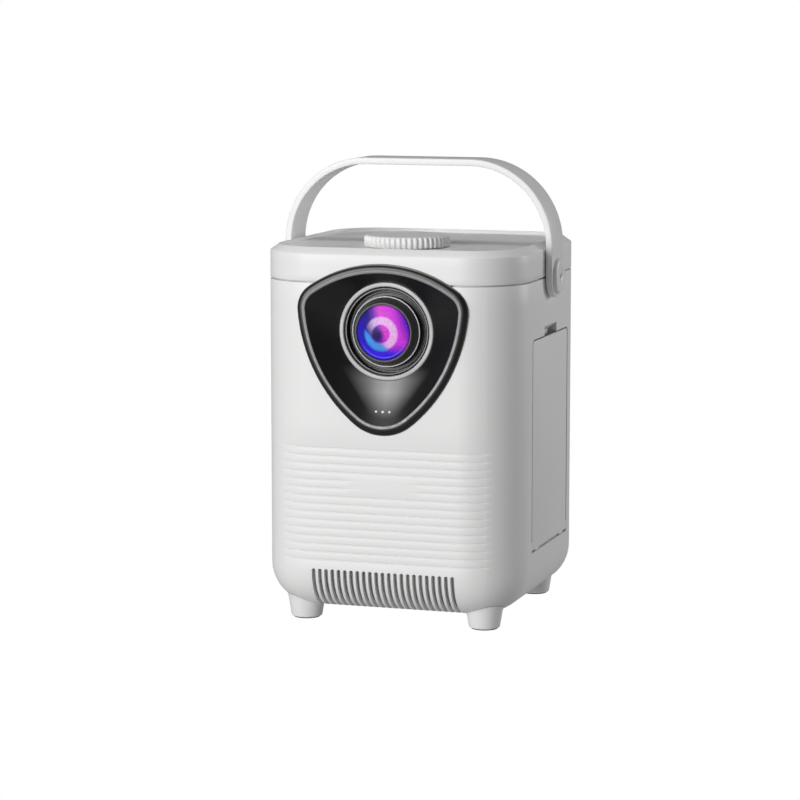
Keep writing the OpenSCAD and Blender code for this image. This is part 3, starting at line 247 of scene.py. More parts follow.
def glass_mat(name, colour, rough=0.02, transmission=1.0):
    """Clear glass or plastic with a faint change of tint."""
    m, nt, b = new_material(name)
    tc = node(nt, "ShaderNodeTexCoord")
    n = node(nt, "ShaderNodeTexNoise", in_Scale=40.0, in_Detail=2.0)
    nt.links.new(tc.outputs["Object"], n.inputs["Vector"])
    lo = tuple(c * 0.97 for c in colour) + (1.0,)
    hi = tuple(min(1.0, c * 1.02) for c in colour) + (1.0,)
    nt.links.new(ramp(nt, n.outputs["Fac"], [(0.3, lo), (0.7, hi)]), b.inputs["Base Color"])
    b.inputs["Roughness"].default_value = rough
    b.inputs["Transmission Weight"].default_value = transmission
    b.inputs["IOR"].default_value = 1.5
    return m


def coated_lens(name):
    """Front glass: deep violet body under painted coating reflections that show as blue, magenta and pale
    crescents, with a painted dark spot and a faint painted glow.
    """
    m, nt, b = new_material(name)
    tc = node(nt, "ShaderNodeTexCoord")
    sep = node(nt, "ShaderNodeSeparateXYZ")
    nt.links.new(tc.outputs["Object"], sep.inputs[0])

    def centred(cx, cz):
        """Place on the glass from (cx, cz) mm off its middle, and distance, as shares of its radius."""
        x = calc(nt, "DIVIDE", calc(nt, "SUBTRACT", sep.outputs["X"], cx * MM), GLASS_R * MM)
        z = calc(nt, "DIVIDE", calc(nt, "SUBTRACT", sep.outputs["Z"], (LENS_Z + cz) * MM), GLASS_R * MM)
        squares = calc(nt, "ADD", calc(nt, "MULTIPLY", x, x), calc(nt, "MULTIPLY", z, z))
        return x, z, calc(nt, "SQRT", squares)

    def half_plus_half(v):
        """-1 to 1 as 0 to 1."""
        return calc(nt, "MULTIPLY_ADD", v, 0.5, 0.5)

    x, z, r = centred(0.0, 0.0)
    # painted coating reflection: colour across the glass, from the left edge to the right, and blue at the
    # bottom
    across = calc(nt, "ADD", calc(nt, "MULTIPLY", x, 0.46), calc(nt, "MULTIPLY", z, 0.16))
    col = ramp(nt, calc(nt, "ADD", across, 0.5),
               [(0.05, (0.03, 0.02, 0.55, 1)), (0.34, (0.02, 0.012, 0.20, 1)),
                (0.44, (0.12, 0.02, 0.42, 1)), (0.56, (0.72, 0.06, 0.66, 1)),
                (0.80, (0.62, 0.05, 0.72, 1)), (0.97, (0.06, 0.015, 0.5, 1))])
    low = ramp(nt, half_plus_half(z), [(0.12, grey(1.0)), (0.34, grey(0.0))])
    col = mixed(nt, low, col, (0.05, 0.02, 0.75, 1))
    # painted reflections: pale crescent on the right of the middle, blue one at the lower left
    xs, zs, rs = centred(-0.6, -0.4)
    band = ramp(nt, rs, [(0.30, grey(0.0)), (0.36, grey(1.0)), (0.56, grey(1.0)), (0.64, grey(0.0))])
    right = ramp(nt, half_plus_half(calc(nt, "ADD", xs, calc(nt, "MULTIPLY", zs, 0.7))),
                 [(0.26, grey(0.0)), (0.5, grey(1.0))])
    pale = calc(nt, "MULTIPLY", calc(nt, "MULTIPLY", band, right), 0.7)
    col = mixed(nt, pale, col, (0.86, 0.62, 0.90, 1))
    left = ramp(nt, half_plus_half(calc(nt, "SUBTRACT", calc(nt, "MULTIPLY", xs, -0.8), zs)),
                [(0.66, grey(0.0)), (0.74, grey(1.0))])
    band = ramp(nt, rs, [(0.34, grey(0.0)), (0.42, grey(1.0)), (0.58, grey(1.0)), (0.68, grey(0.0))])
    col = mixed(nt, calc(nt, "MULTIPLY", band, left), col, (0.06, 0.30, 0.80, 1))
    # painted shade: dark spot left of the middle
    painted_dark_spot = ramp(nt, centred(-3.0, -1.0)[2], [(0.13, grey(1.0)), (0.27, grey(0.0))])
    col = mixed(nt, painted_dark_spot, col, (0.03, 0.015, 0.12, 1))
    # painted reflection of a fine ring near the edge, darkening towards the edge itself, and specks
    line = ramp(nt, r, [(0.875, grey(0.0)), (0.895, grey(0.5)), (0.915, grey(0.0))])
    col = mixed(nt, calc(nt, "MULTIPLY", line, low), col, (0.35, 0.45, 1.0, 1))
    col = mixed(nt, 1.0, col, ramp(nt, r, [(0.93, grey(1.0)), (1.0, grey(0.25))]), "MULTIPLY")
    speck = node(nt, "ShaderNodeTexNoise", in_Scale=2200.0, in_Detail=2.0)
    nt.links.new(tc.outputs["Object"], speck.inputs["Vector"])
    tone = ramp(nt, speck.outputs["Fac"], [(0.4, grey(0.3)), (0.6, grey(1.0))])
    col = mixed(nt, 0.5, col, tone, "MULTIPLY")
    nt.links.new(col, b.inputs["Base Color"])
    # painted light: the glass also glows faintly in its own colour, though it is no lamp
    nt.links.new(col, b.inputs["Emission Color"])
    b.inputs["Emission Strength"].default_value = 0.28
    b.inputs["Roughness"].default_value = 0.25
    b.inputs["IOR"].default_value = 1.3
    b.inputs["Specular IOR Level"].default_value = 0.25
    b.inputs["Specular Tint"].default_value = (0.75, 0.6, 1.0, 1.0)
    return m


WHITE = (0.83, 0.83, 0.825)
M = {
    "mesh": moulded("filter_mesh", (0.30, 0.30, 0.29), 0.8, grain=1.0, grain_scale=700.0, tint=0.25),
    "case": moulded("case_plastic", WHITE, 0.46, grain=0.35, grain_scale=2600.0, tint=0.006, edge=0.02),
    "lid": moulded("lid_plastic", WHITE, 0.44, grain=0.3, grain_scale=2600.0, tint=0.006, edge=0.02),
    "handle": moulded("handle_plastic", (0.84, 0.84, 0.84), 0.36, grain=0.15, tint=0.006, edge=0.02),
    "dial": moulded("dial_plastic", WHITE, 0.42, grain=0.2, tint=0.008, edge=0.03),
    # bezel: 0.24 is the painted top-light grey, 0.34 the painted sheen grey
    "bezel": bezel_black("bezel_satin_black", (0.006, 0.006, 0.007), 0.24, 0.34),
    "trim": metal("trim_satin", (0.26, 0.262, 0.265), 0.5, scale=(300, 300, 300), strength=0.05,
                  metallic=0.35),
    "ring": metal("ring_metal", (0.46, 0.462, 0.47), 0.5, scale=(60, 900, 60), strength=0.1, metallic=0.25),
    "bright": metal("bright_ring", (0.20, 0.20, 0.205), 0.55, scale=(60, 900, 60), strength=0.08,
                   metallic=0.3),
    "inner": moulded("inner_black_plastic", (0.035, 0.035, 0.037), 0.5, grain=0.4, grain_scale=1200.0,
                     tint=0.1),
    "nose": moulded("nose_satin_black", (0.05, 0.05, 0.048), 0.42, grain=0.15, tint=0.08, edge=0.03),
    "barrel": moulded("barrel_black", (0.018, 0.018, 0.02), 0.38, grain=0.1, tint=0.1, edge=0.02),
    "brass": metal("brass_turned", (0.76, 0.58, 0.26), 0.28, scale=(500, 500, 60)),
    "steel": metal("steel_plain", (0.58, 0.59, 0.61), 0.32, scale=(400, 60, 400)),
    "sink": metal("sink_aluminium", (0.63, 0.64, 0.66), 0.36, scale=(60, 600, 60)),
    # painted shade: colour of the dark strip over the door's gap
    "gap": moulded("gap_shade", (0.13, 0.13, 0.13), 0.8, grain=0.3),
    "rubber": moulded("rubber_matt", (0.03, 0.03, 0.03), 0.75, grain=0.6, grain_scale=900.0, tint=0.12),
    "mirror": metal("front_silvered_mirror", (0.93, 0.94, 0.95), 0.04, strength=0.0),
    "reflector": metal("reflector_bright", (0.86, 0.86, 0.87), 0.12),
    "clear": glass_mat("clear_glass", (0.93, 0.97, 0.98)),
    "panel": glass_mat("display_glass", (0.04, 0.04, 0.07), rough=0.08, transmission=0.2),
    "board": moulded("solder_mask_green", (0.02, 0.16, 0.08), 0.32, grain=0.3, grain_scale=400.0, tint=0.2),
    "socket": metal("socket_plated", (0.66, 0.67, 0.68), 0.28),
    "led_board": metal("led_board_white", (0.80, 0.79, 0.74), 0.5, metallic=0.2),
    "window": moulded("dark_red_window", (0.05, 0.008, 0.012), 0.12, grain=0.05, coat=0.5),
    "button": moulded("button_grey", (0.42, 0.42, 0.43), 0.4, grain=0.2, tint=0.02),
    "light": moulded("indicator_white", (0.88, 0.88, 0.88), 0.3, grain=0.05, tint=0.01),
    "lens": coated_lens("coated_front_glass"),
}

CAD_LOOKS = {
    "main_housing": "case", "base_plate": "case", "intake_filter": "mesh", "rear_panel": "case",
    "feet": "case",
    "side_door": "case", "top_lid": "lid", "focus_knob": "dial", "handle": "handle",
    "pivot_caps": "handle", "foot_pads": "rubber", "door_gasket": "rubber",
    "door_hinge_pins": "steel", "door_magnet": "steel", "catch_plate": "steel",
    "lens_bezel": "bezel", "bezel_trim": "trim", "indicator_lights": "light",
    "lens_ring": "ring", "lens_tube": "inner", "lens_barrel": "barrel", "lens_retainer": "nose",
    "front_lens": "lens", "middle_lens": "clear", "rear_lens": "clear", "lens_spacers": "barrel",
    "focus_rack": "brass", "focus_pinion": "brass", "focus_shaft": "steel", "knob_bush": "brass",
    "pivot_pins": "steel", "pivot_brackets": "steel", "mirror_housing": "inner",
    "mirror_glass": "mirror", "engine_housing": "inner", "service_cover": "trim",
    "lcd_panel": "panel", "fresnel_lenses": "clear", "heat_glass": "clear",
    "condenser_lens": "clear", "reflector": "reflector", "led_module": "led_board",
    "heat_sink": "sink", "lamp_fan_frame": "inner", "lamp_fan_rotor": "inner",
    "fan_duct": "inner", "exhaust_fan_frame": "inner", "exhaust_fan_rotor": "inner",
    "chassis_plates": "steel", "main_board": "board", "power_board": "board",
    "port_board": "board", "port_sockets": "socket", "power_inlet": "inner",
    "speaker": "inner", "switch_board": "board", "power_button": "button",
    "remote_window": "window", "tripod_insert": "brass", "screws": "steel",
}
for cad in bpy.context.scene.objects:
    if cad.type == "MESH" and cad.name in CAD_LOOKS:
        for s in cad.material_slots:
            s.material = M[CAD_LOOKS[cad.name]]


# ------------------------------------------------------------------ mesh tools
def finish_piece(bm, name, look, body, smooth=38.0):
    """Turns a bmesh in millimetres into a piece that rides on a CAD body."""
    bmesh.ops.recalc_face_normals(bm, faces=bm.faces)
    bmesh.ops.scale(bm, vec=(MM, MM, MM), verts=bm.verts)
    me = bpy.data.meshes.new(name)
    bm.to_mesh(me)
    bm.free()
    me.materials.append(M[look])
    for p in me.polygons:
        p.use_smooth = True
    o = bpy.data.objects.new(name, me)
    bpy.context.scene.collection.objects.link(o)
    me.set_sharp_from_angle(angle=math.radians(smooth))
    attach(o, body)
    return o


def ring_faces(bm, a, b):
    """Faces between two closed rings of as many corners; a ring's corners may all be one point."""
    n = len(a)
    for i in range(n):
        j = (i + 1) % n
        corners = list(dict.fromkeys((a[i], a[j], b[j], b[i])))
        if len(corners) > 2:
            bm.faces.new(corners)


def outline(inset, steps, along):
    """The case's plan, set in by inset: steps points round each corner, along points on each side."""
    pts = []
    r = CORNER - inset
    for q in range(4):
        cx = CORE if q in (0, 3) else -CORE
        cy = CORE if q < 2 else -CORE
        for i in range(steps + 1):
            a = math.radians(90 * q + 90 * i / steps)
            pts.append((cx + r * math.cos(a), cy + r * math.sin(a)))
        a1 = math.radians(90 * q + 90)
        nx, ny = ((-CORE, CORE), (-CORE, -CORE), (CORE, -CORE), (CORE, CORE))[q]
        x0, y0 = pts[-1]
        x1, y1 = nx + r * math.cos(a1), ny + r * math.sin(a1)
        for i in range(1, along):
            t = i / along
            pts.append((x0 + (x1 - x0) * t, y0 + (y1 - y0) * t))
    return pts


def shield_arcs():
    """Centres of the shield's arcs, each of which meets the next one smoothly."""
    crown = (0.0, CROWN_TOP - CROWN_R)
    shoulder = (SHOULDER_X, crown[1] + math.sqrt((CROWN_R - SHOULDER_R) ** 2 - SHOULDER_X ** 2))
    point = (0.0, POINT_R - POINT_DROP)
    ra, rb = SIDE_R - POINT_R, SIDE_R - SHOULDER_R
    dx, dy = shoulder[0] - point[0], shoulder[1] - point[1]
    d = math.hypot(dx, dy)
    u = (dx / d, dy / d)
    k = (ra * ra - rb * rb + d * d) / (2 * d)
    h = math.sqrt(ra * ra - k * k)
    side = (point[0] + u[0] * k - u[1] * h, point[1] + u[1] * k + u[0] * h)
    return crown, shoulder, point, side


def shield(inset, lift=0.0):
    """Shield outline about the lens axis, set in by inset; lift raises its lower end."""
    crown, shoulder, point, side = shield_arcs()

    def head(a, b):
        return math.atan2(b[1] - a[1], b[0] - a[0])

    a_point, a_side, a_crown = head(side, point), head(side, shoulder), head(crown, shoulder)
    arcs = [(point, POINT_R, -math.pi / 2, a_point, 10), (side, SIDE_R, a_point, a_side, 26),
            (shoulder, SHOULDER_R, a_side, a_crown, 14), (crown, CROWN_R, a_crown, math.pi / 2, 22)]
    half = []
    for c, r, a0, a1, k in arcs:
        for i in range(k):
            a = a0 + (a1 - a0) * i / k
            half.append((c[0] + (r - inset) * math.cos(a), c[1] + (r - inset) * math.sin(a)))
    half.append((0.0, crown[1] + CROWN_R - inset))
    pts = half + [(-x, z) for x, z in reversed(half[1:-1])]
    if lift:
        pts = [(x, z + lift * max(0.0, min(1.0, (-z - 20.0) / 30.0))) for x, z in pts]
    return pts


def bezel_seat():
    """Outline of the recess that the bezel stands in, in x and z."""
    return [(x, z + LENS_Z) for x, z in shield(1.4)]


def face_y(x):
    """Y of the case's front surface at x."""
    if abs(x) <= CORE:
        return -HALF
    return -CORE - math.sqrt(CORNER ** 2 - (abs(x) - CORE) ** 2)


def loft(bm, rings):
    """Faces through closed rings of (x, y, z) points, in order; returns the rings' vertices."""
    made = [[bm.verts.new(p) for p in ring] for ring in rings]
    for a, b in zip(made, made[1:]):
        ring_faces(bm, a, b)
    return made


def capped_loft(rings):
    """New solid through closed rings, with a flat face on both ends."""
    bm = bmesh.new()
    made = loft(bm, rings)
    bm.faces.new(list(reversed(made[0])))
    bm.faces.new(made[-1])
    return bm


def placed(pts, t, axis):
    """Points (u, v) of a plane across an axis, at t along it."""
    return [{"X": (t, u, v), "Y": (u, t, v), "Z": (u, v, t)}[axis] for u, v in pts]


def round_points(centre, r, steps):
    turns = [2 * math.pi * i / steps for i in range(steps)]
    return [(centre[0] + r * math.cos(a), centre[1] + r * math.sin(a)) for a in turns]


def turned(name, profile, look, body, centre=(0.0, LENS_Z), axis="Y", steps=128,
           closed=True, smooth=38.0):
    """Profile of (radius, place along the axis) turned about an axis."""
    bm = bmesh.new()
    made = []
    for r, t in profile:
        pts = placed(round_points(centre, r, steps), t, axis)
        if not closed and r < 1e-6:
            made.append([bm.verts.new(pts[0])] * steps)
        else:
            made.append([bm.verts.new(p) for p in pts])
    for a, b in zip(made, made[1:] + made[:1] if closed else made[1:]):
        ring_faces(bm, a, b)
    return finish_piece(bm, name, look, body, smooth)


def rounded(profile, radius, steps=3):
    """Closed profile with its corners rounded."""
    out = []
    n = len(profile)
    for i, p in enumerate(profile):
        a = Vector(profile[i - 1]) - Vector(p)
        b = Vector(profile[(i + 1) % n]) - Vector(p)
        if a.length < 1e-6 or b.length < 1e-6:
            continue
        r = min(radius, 0.45 * a.length, 0.45 * b.length)
        pa = Vector(p) + a.normalized() * r
        pb = Vector(p) + b.normalized() * r
        for k in range(steps + 1):
            t = k / steps
            q = pa * (1 - t) ** 2 + Vector(p) * 2 * t * (1 - t) + pb * t ** 2
            out.append((q.x, q.y))
    return out


# ------------------------------------------------------------------ camera, light, floor
TARGET = Vector((-12.65, -4.09, 119.11)) * MM
EYE = Vector((500.6, -1590.2, 349.6)) * MM
cam_data = bpy.data.cameras.new("camera")
cam = bpy.data.objects.new("camera", cam_data)
bpy.context.scene.collection.objects.link(cam)
cam_data.sensor_width = 36.0
cam_data.lens = 131.8
cam_data.dof.use_dof = False
cam_data.clip_start = 0.05
cam_data.clip_end = 50.0
cam.location = EYE
cam.rotation_mode = "QUATERNION"
cam.rotation_quaternion = (TARGET - EYE).to_track_quat("-Z", "Y")
bpy.context.scene.camera = cam


LIGHT_TARGET = Vector((0, 0, 0.11))


def area(name, loc, size, power):
    """Square soft light that faces the middle of the object."""
    d = bpy.data.lights.new(name, "AREA")
    d.energy = power
    d.size = size
    o = bpy.data.objects.new(name, d)
    bpy.context.scene.collection.objects.link(o)
    o.location = loc
    o.rotation_mode = "QUATERNION"
    o.rotation_quaternion = (LIGHT_TARGET - Vector(loc)).to_track_quat("-Z", "Y")


area("key_left", (-0.70, -1.80, 0.50), 1.0, 29.0)
area("side_back", (1.45, 1.25, 0.55), 0.8, 13.5)
area("fill_top", (-0.15, -0.15, 1.5), 0.6, 4.5)


def camera_only(nt, seen, given):
    """Strength that the camera sees, and a lower one that lights the scene."""
    path = node(nt, "ShaderNodeLightPath")
    mix = node(nt, "ShaderNodeMapRange")
    mix.inputs["To Min"].default_value = given
    mix.inputs["To Max"].default_value = seen
    nt.links.new(path.outputs["Is Camera Ray"], mix.inputs["Value"])
    return mix.outputs[0]


world = bpy.data.worlds.new("studio")
world.use_nodes = True
wnt = world.node_tree
wnt.nodes["Background"].inputs[0].default_value = (1, 1, 1, 1)
wnt.links.new(camera_only(wnt, 1.0, 0.11), wnt.nodes["Background"].inputs[1])
bpy.context.scene.world = world
bpy.context.scene.view_settings.view_transform = "Standard"

floor_me = bpy.data.meshes.new("floor")
bm = bmesh.new()
bmesh.ops.create_grid(bm, x_segments=1, y_segments=1, size=6.0)
bm.to_mesh(floor_me)
bm.free()
floor = bpy.data.objects.new("floor", floor_me)
floor.location = (0, 0, -0.0002)
bpy.context.scene.collection.objects.link(floor)
fm = bpy.data.materials.new("floor_white")
fm.use_nodes = True
fnt = fm.node_tree
fnt.nodes.clear()
fout = node(fnt, "ShaderNodeOutputMaterial")
femit = node(fnt, "ShaderNodeEmission")
fnt.links.new(camera_only(fnt, 1.0, 0.28), femit.inputs["Strength"])
fnt.links.new(femit.outputs[0], fout.inputs[0])
floor_me.materials.append(fm)


# ------------------------------------------------------------------ solids for cutting
def solid_box(bm, lo, hi):
    r = bmesh.ops.create_cube(bm, size=1.0)
    for v in r["verts"]:
        v.co = Vector([lo[k] + (v.co[k] + 0.5) * (hi[k] - lo[k]) for k in range(3)])


def solid_prism(bm, pts, t0, t1, axis):
    """Prism on an outline of (u, v) points, from t0 to t1 along an axis."""
    a, b = loft(bm, [placed(pts, t0, axis), placed(pts, t1, axis)])
    bm.faces.new(list(reversed(a)))
    bm.faces.new(b)


def solid_rod(bm, centre, r, t0, t1, axis="Y", steps=48):
    solid_prism(bm, round_points(centre, r, steps), t0, t1, axis)


def rounded_rect(u, v, w, h, r, steps=8):
    """Counter-clockwise corner points of a rectangle with round corners, centred at (u, v)."""
    pts = []
    for q, (sx, sy) in enumerate(((1, 1), (-1, 1), (-1, -1), (1, -1))):
        for i in range(steps + 1):
            a = math.pi / 2 * (q + i / steps)
            pts.append((u + sx * (w / 2 - r) + r * math.cos(a), v + sy * (h / 2 - r) + r * math.sin(a)))
    return pts


def to_mm_mesh(bm, name):
    bmesh.ops.recalc_face_normals(bm, faces=bm.faces)
    me = bpy.data.meshes.new(name)
    bm.to_mesh(me)
    bm.free()
    return me


def cut(bm, cutters, union=None):
    """Subtracts the solids in each cutter mesh from bm, exactly; union is added first."""
    o = bpy.data.objects.new("work", to_mm_mesh(bm, "work"))
    bpy.context.scene.collection.objects.link(o)
    used = []
    steps = ([(union, "UNION")] if union else []) + [(c, "DIFFERENCE") for c in cutters]
    for me, how in steps:
        c = bpy.data.objects.new("cutter", me)
        bpy.context.scene.collection.objects.link(c)
        m = o.modifiers.new("cut", "BOOLEAN")
        m.object = c
        m.operation = how
        m.solver = "EXACT"
        m.use_self = False
        used.append(c)
    dg = bpy.context.evaluated_depsgraph_get()
    result = bpy.data.meshes.new_from_object(o.evaluated_get(dg))
    out = bmesh.new()
    out.from_mesh(result)
    for x in [o] + used:
        bpy.data.objects.remove(x)
    bpy.data.meshes.remove(result)
    return out


def bevelled_plate(pts2, axis, t0, t1, edge):
    """Plate from t0 up to t1 along an axis, its edge at t1 rounded. The outline runs
    counter-clockwise in (u, v)."""
    n = len(pts2)

    def inward(d):
        out = []
        for i in range(n):
            a, p, b = Vector(pts2[i - 1]), Vector(pts2[i]), Vector(pts2[(i + 1) % n])
            e1, e2 = (p - a), (b - p)
            n1, n2 = Vector((-e1.y, e1.x)), Vector((-e2.y, e2.x))
            if n1.length > 1e-9:
                n1.normalize()
            if n2.length > 1e-9:
                n2.normalize()
            m = n1 + n2
            m = m.normalized() if m.length > 1e-9 else n1
            out.append(p + m * d / max(0.5, m.dot(n1)))
        return out

    levels = [(0.0, t0)]
    for k in range(4):
        a = math.pi / 2 * k / 3
        levels.append((edge * (1 - math.cos(a)), t1 - edge * (1 - math.sin(a))))
    bm = bmesh.new()
    made = loft(bm, [placed(inward(d), t, axis) for d, t in levels])
    bm.faces.new(made[0])
    bm.faces.new(list(reversed(made[-1])))
    return bm


# ------------------------------------------------------------------ case and lid
def case_outline(inset):
    """Plan of the case, with extra points where the grooves begin and end."""
    r = CORNER - inset
    flat = HALF - inset
    turns = [0, 6, 12, 18, 24, 29.2, 30.8, 37, 45, 53, 61, 69, 77, 84, 90]
    even = (30, 15, 0, -15, -30)
    front = (-34, -27, -20.5, -19.5, -12, 0, 12, 19.5, 20.5, 27, 34)
    corners = [(CORE, CORE, turns, [(x, flat) for x in even]),
               (-CORE, CORE, turns, [(-flat, y) for y in even]),
               (-CORE, -CORE, [90 - d for d in reversed(turns)], [(x, -flat) for x in front]),
               (CORE, -CORE, turns, [(flat, y) for y in reversed(even)])]
    pts = []
    for q, (cx, cy, degs, side) in enumerate(corners):
        for d in degs:
            a = math.radians(90 * q + d)
            pts.append((cx + r * math.cos(a), cy + r * math.sin(a)))
        pts += side
    return pts


def groove_share(x, y, blank):
    """1 where the groove is cut, 0 elsewhere."""
    turn = math.degrees(math.atan2(abs(x) - CORE, -y - CORE))
    if y > -CORE or turn > GROOVE_END or (blank and abs(x) < BLANK_X):
        return 0.0
    return 1.0


def sunk(x, y, depth):
    """Point of the case's front or front corners, moved in by depth."""
    if abs(x) <= CORE:
        return x, y + depth
    cx, cy = math.copysign(CORE, x), max(-CORE, y)
    d = math.hypot(x - cx, y - cy)
    return x - (x - cx) / d * depth, y - (y - cy) / d * depth


def under_curve(inset, r, steps=10):
    """(inset, z) points of the rounding round the underside, from its flat up."""
    turns = [math.pi / 2 * k / steps for k in range(steps + 1)]
    return [(inset + r * (1 - math.sin(a)), FOOT_Z + inset + r * (1 - math.cos(a))) for a in turns]


def case_body():
    """Hollow case with its grooves, before the openings are cut."""
    rows = [(inset, z, None, 0) for inset, z in under_curve(0.0, BOTTOM_R)]    # inset, z, groove, depth
    for g, z in enumerate(GROOVE_Z):
        rows += [(0.0, z + dz, g, depth) for dz, depth in GROOVE_SHAPE]
    outside = [(0.0, z) for z in (115.0, 140.0, 165.0, 180.0, CASE_TOP - 0.35)]
    edge = [(0.1, CASE_TOP - 0.1), (0.35, CASE_TOP), (WALL, CASE_TOP)]
    inside = [(WALL, z) for z in (165.0, 140.0, 115.0, 70.0)]
    low = under_curve(WALL, BOTTOM_R - WALL)[::-1]
    rows += [(inset, z, None, 0) for inset, z in outside + edge + inside + low]
    rings = []
    for inset, z, g, depth in rows:
        ring = []
        for x, y in case_outline(inset):
            share = groove_share(x, y, g in BLANK_GROOVES) if depth else 0.0
            if share:
                x, y = sunk(x, y, depth)
            ring.append((x, y, z))
        rings.append(ring)
    return capped_loft(rings)


def case_shell():
    door_frame = bmesh.new()
    solid_prism(door_frame, rounded_rect(DOOR_Y, 100.0, 80.0, 129.0, 4.0), 70.0, 73.5, "X")
    slots = bmesh.new()
    turns = [math.pi * j / 6 for j in range(7)]
    for k in range(SLOTS):
        x = (k - SLOTS // 2) * SLOT_PITCH
        top = [(x + SLOT_HALF * math.cos(a), 31.4 + 0.9 * math.sin(a)) for a in turns]
        solid_prism(slots, [(x - SLOT_HALF, 5.0), (x + SLOT_HALF, 5.0)] + top, -77.0, -44.0, "Y")
    through = bmesh.new()          # bezel seat, rear panel, base plate
    solid_prism(through, bezel_seat(), -76.5, -66.0, "Y")
    solid_prism(through, rounded_rect(0.0, REAR_Z, 64.0, 126.0, 6.0), 66.0, 80.0, "Y")
    solid_prism(through, rounded_rect(0.0, 4.0, 82.0, 88.0, 8.0), 5.0, 9.5, "Z")
    pockets = bmesh.new()          # base opening, door pocket, pivot holes
    solid_prism(pockets, rounded_rect(0.0, 4.0, 70.0, 76.0, 5.0), 4.0, 12.0, "Z")
    solid_prism(pockets, rounded_rect(DOOR_Y, 100.0, 74.6, 119.6, 3.0), 72.1, 78.0, "X")
    for s in (-1, 1):
        solid_rod(pockets, (0.0, SEAM), PIVOT_HOLE_R, s * 68.0, s * 80.0, "X")
    bay = bmesh.new()
    solid_prism(bay, rounded_rect(DOOR_Y, 100.0, 66.0, 111.0, 3.0), 60.0, 79.0, "X")
    small = bmesh.new()            # hinge trough, finger notch, slots on the left side
    solid_box(small, (70.9, -35.8, 40.2), (79.5, 38.8, 44.8))
    notch = [(70.6, 158.5), (77.0, 158.5), (77.0, 165.5), (74.8, 165.5), (70.6, 161.7)]
    solid_prism(small, notch, 14.5, -11.5, "Y")
    for k in range(-4, 5):
        solid_prism(small, rounded_rect(2.0, 82.0 + 3.6 * k, 34.0, 1.6, 0.79, 5), -78.0, -70.0, "X")
    cutters = [to_mm_mesh(c, "cutter") for c in (slots, through, pockets, bay, small)]
    out = cut(case_body(), cutters, union=to_mm_mesh(door_frame, "door_frame"))
    # hinge ears
    for y in (DOOR_Y - 29.0, DOOR_Y + 23.0):
        solid_rod(out, HINGE, 1.15, y, y + 6.0, "Y", 24)
        solid_box(out, (70.2, y, 41.45), (73.0, y + 6.0, 43.75))
    o = finish_piece(out, "case_shell", "case", "case", 32.0)
    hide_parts("main_housing")


def lid_shell():
    """Lid: side wall, sloping rim, crest and recessed top, as (inset, z) points."""
    prof = [(4.5, 207.5), (4.5, LID_LOW - 4), (2.9, LID_LOW - 4), (2.7, LID_LOW - 3.8), (2.7, LID_LOW),
            (0.35, LID_LOW), (0.1, LID_LOW + 0.1), (0.0, LID_LOW + 0.35), (0.0, 197.0), (0.0, 203.0),
            (0.0, TOP - RIM_H - 0.3), (0.08, TOP - RIM_H), (0.35, TOP - RIM_H + 0.3), (2.5, PLATE + 0.2),
            (RIM_W - 0.45, TOP - 0.28), (RIM_W - 0.1, TOP - 0.05), (RIM_W + 0.2, TOP),
            (RIM_W + 0.5, TOP - 0.12),
            (RIM_W + 0.62, TOP - 0.4), (RIM_W + 0.85, PLATE + 0.25), (RIM_W + 1.15, PLATE), (9.0, PLATE)]
    bm = capped_loft([placed(outline(inset, 16, 8), z, "Z") for inset, z in prof])
    c = bmesh.new()
    solid_prism(c, bezel_seat(), -76.5, -66.0, "Y")
    for s in (-1, 1):
        solid_rod(c, (0.0, SEAM), PIVOT_HOLE_R, s * 68.0, s * 80.0, "X")
    solid_rod(c, (0.0, DIAL_Y), 5.0, 200.0, 215.0, "Z")
    out = cut(bm, [to_mm_mesh(c, "cutter")])
    o = finish_piece(out, "lid_shell", "lid", "case", 30.0)
    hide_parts("top_lid")


# ------------------------------------------------------------------ handle
def strap_path():
    """Inner face of the right half of the strap, from the pivot up: x, z and the outward x, z."""
    top, r_out = SEAM + 65.3, 48.3
    core, bend = STRAP_IN + STRAP_T - r_out, top - r_out
    low, r_in = SEAM + STRAP_LOW, r_out - STRAP_T
    path = [(STRAP_IN, low + (bend - low) * k / 6, 1.0, 0.0) for k in range(7)]
    for k in range(1, 25):
        a = math.pi / 2 * k / 24
        path.append((core + r_in * math.cos(a), bend + r_in * math.sin(a), math.cos(a), math.sin(a)))
    return path + [(core * (1 - k / 6), top - STRAP_T, 0.0, 1.0) for k in range(1, 7)]


def handle_piece():
    half, edge, n = 12.0, 0.7, 40
    # cross-section: offset from the inner face, and place along Y
    sec = rounded([(0.0, -half), (STRAP_T, -half), (STRAP_T, half), (0.0, half)], edge, 4)
    path = strap_path()
    full = path + [(-x, z, -nx, nz) for x, z, nx, nz in reversed(path[:-1])]
    bm = bmesh.new()
    loft(bm, [[(x + u * nx, v, z + u * nz) for u, v in sec] for x, z, nx, nz in full])
    # round ends about the pivots, with the same edge rounding
    near = edge * 0.3
    levels = [(half - edge, 0.0), (half - near, near), (half, edge), (half, STRAP_T - edge),
              (half - near, STRAP_T - near), (half - edge, STRAP_T)]
    for side in (1, -1):
        discs = []
        for r, u in levels:
            turns = [math.pi + math.pi * i / n for i in range(n + 1)]
            pts = [(r * math.cos(a), SEAM + r * math.sin(a)) for a in turns]
            pts += [(r, SEAM + STRAP_LOW), (-r, SEAM + STRAP_LOW)]
            discs.append([bm.verts.new((side * (STRAP_IN + u), y, z)) for y, z in pts])
        for a, b in zip(discs, discs[1:]):
            for i in range(n + 1):
                bm.faces.new((a[i], a[i + 1], b[i + 1], b[i]))
            bm.faces.new((a[-1], a[0], b[0], b[-1]))
        bm.faces.new(discs[0])
        bm.faces.new(list(reversed(discs[-1])))
    bmesh.ops.remove_doubles(bm, verts=bm.verts, dist=0.001)
    o = finish_piece(bm, "carry_handle", "handle", "handle", 40.0)
    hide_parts("handle")


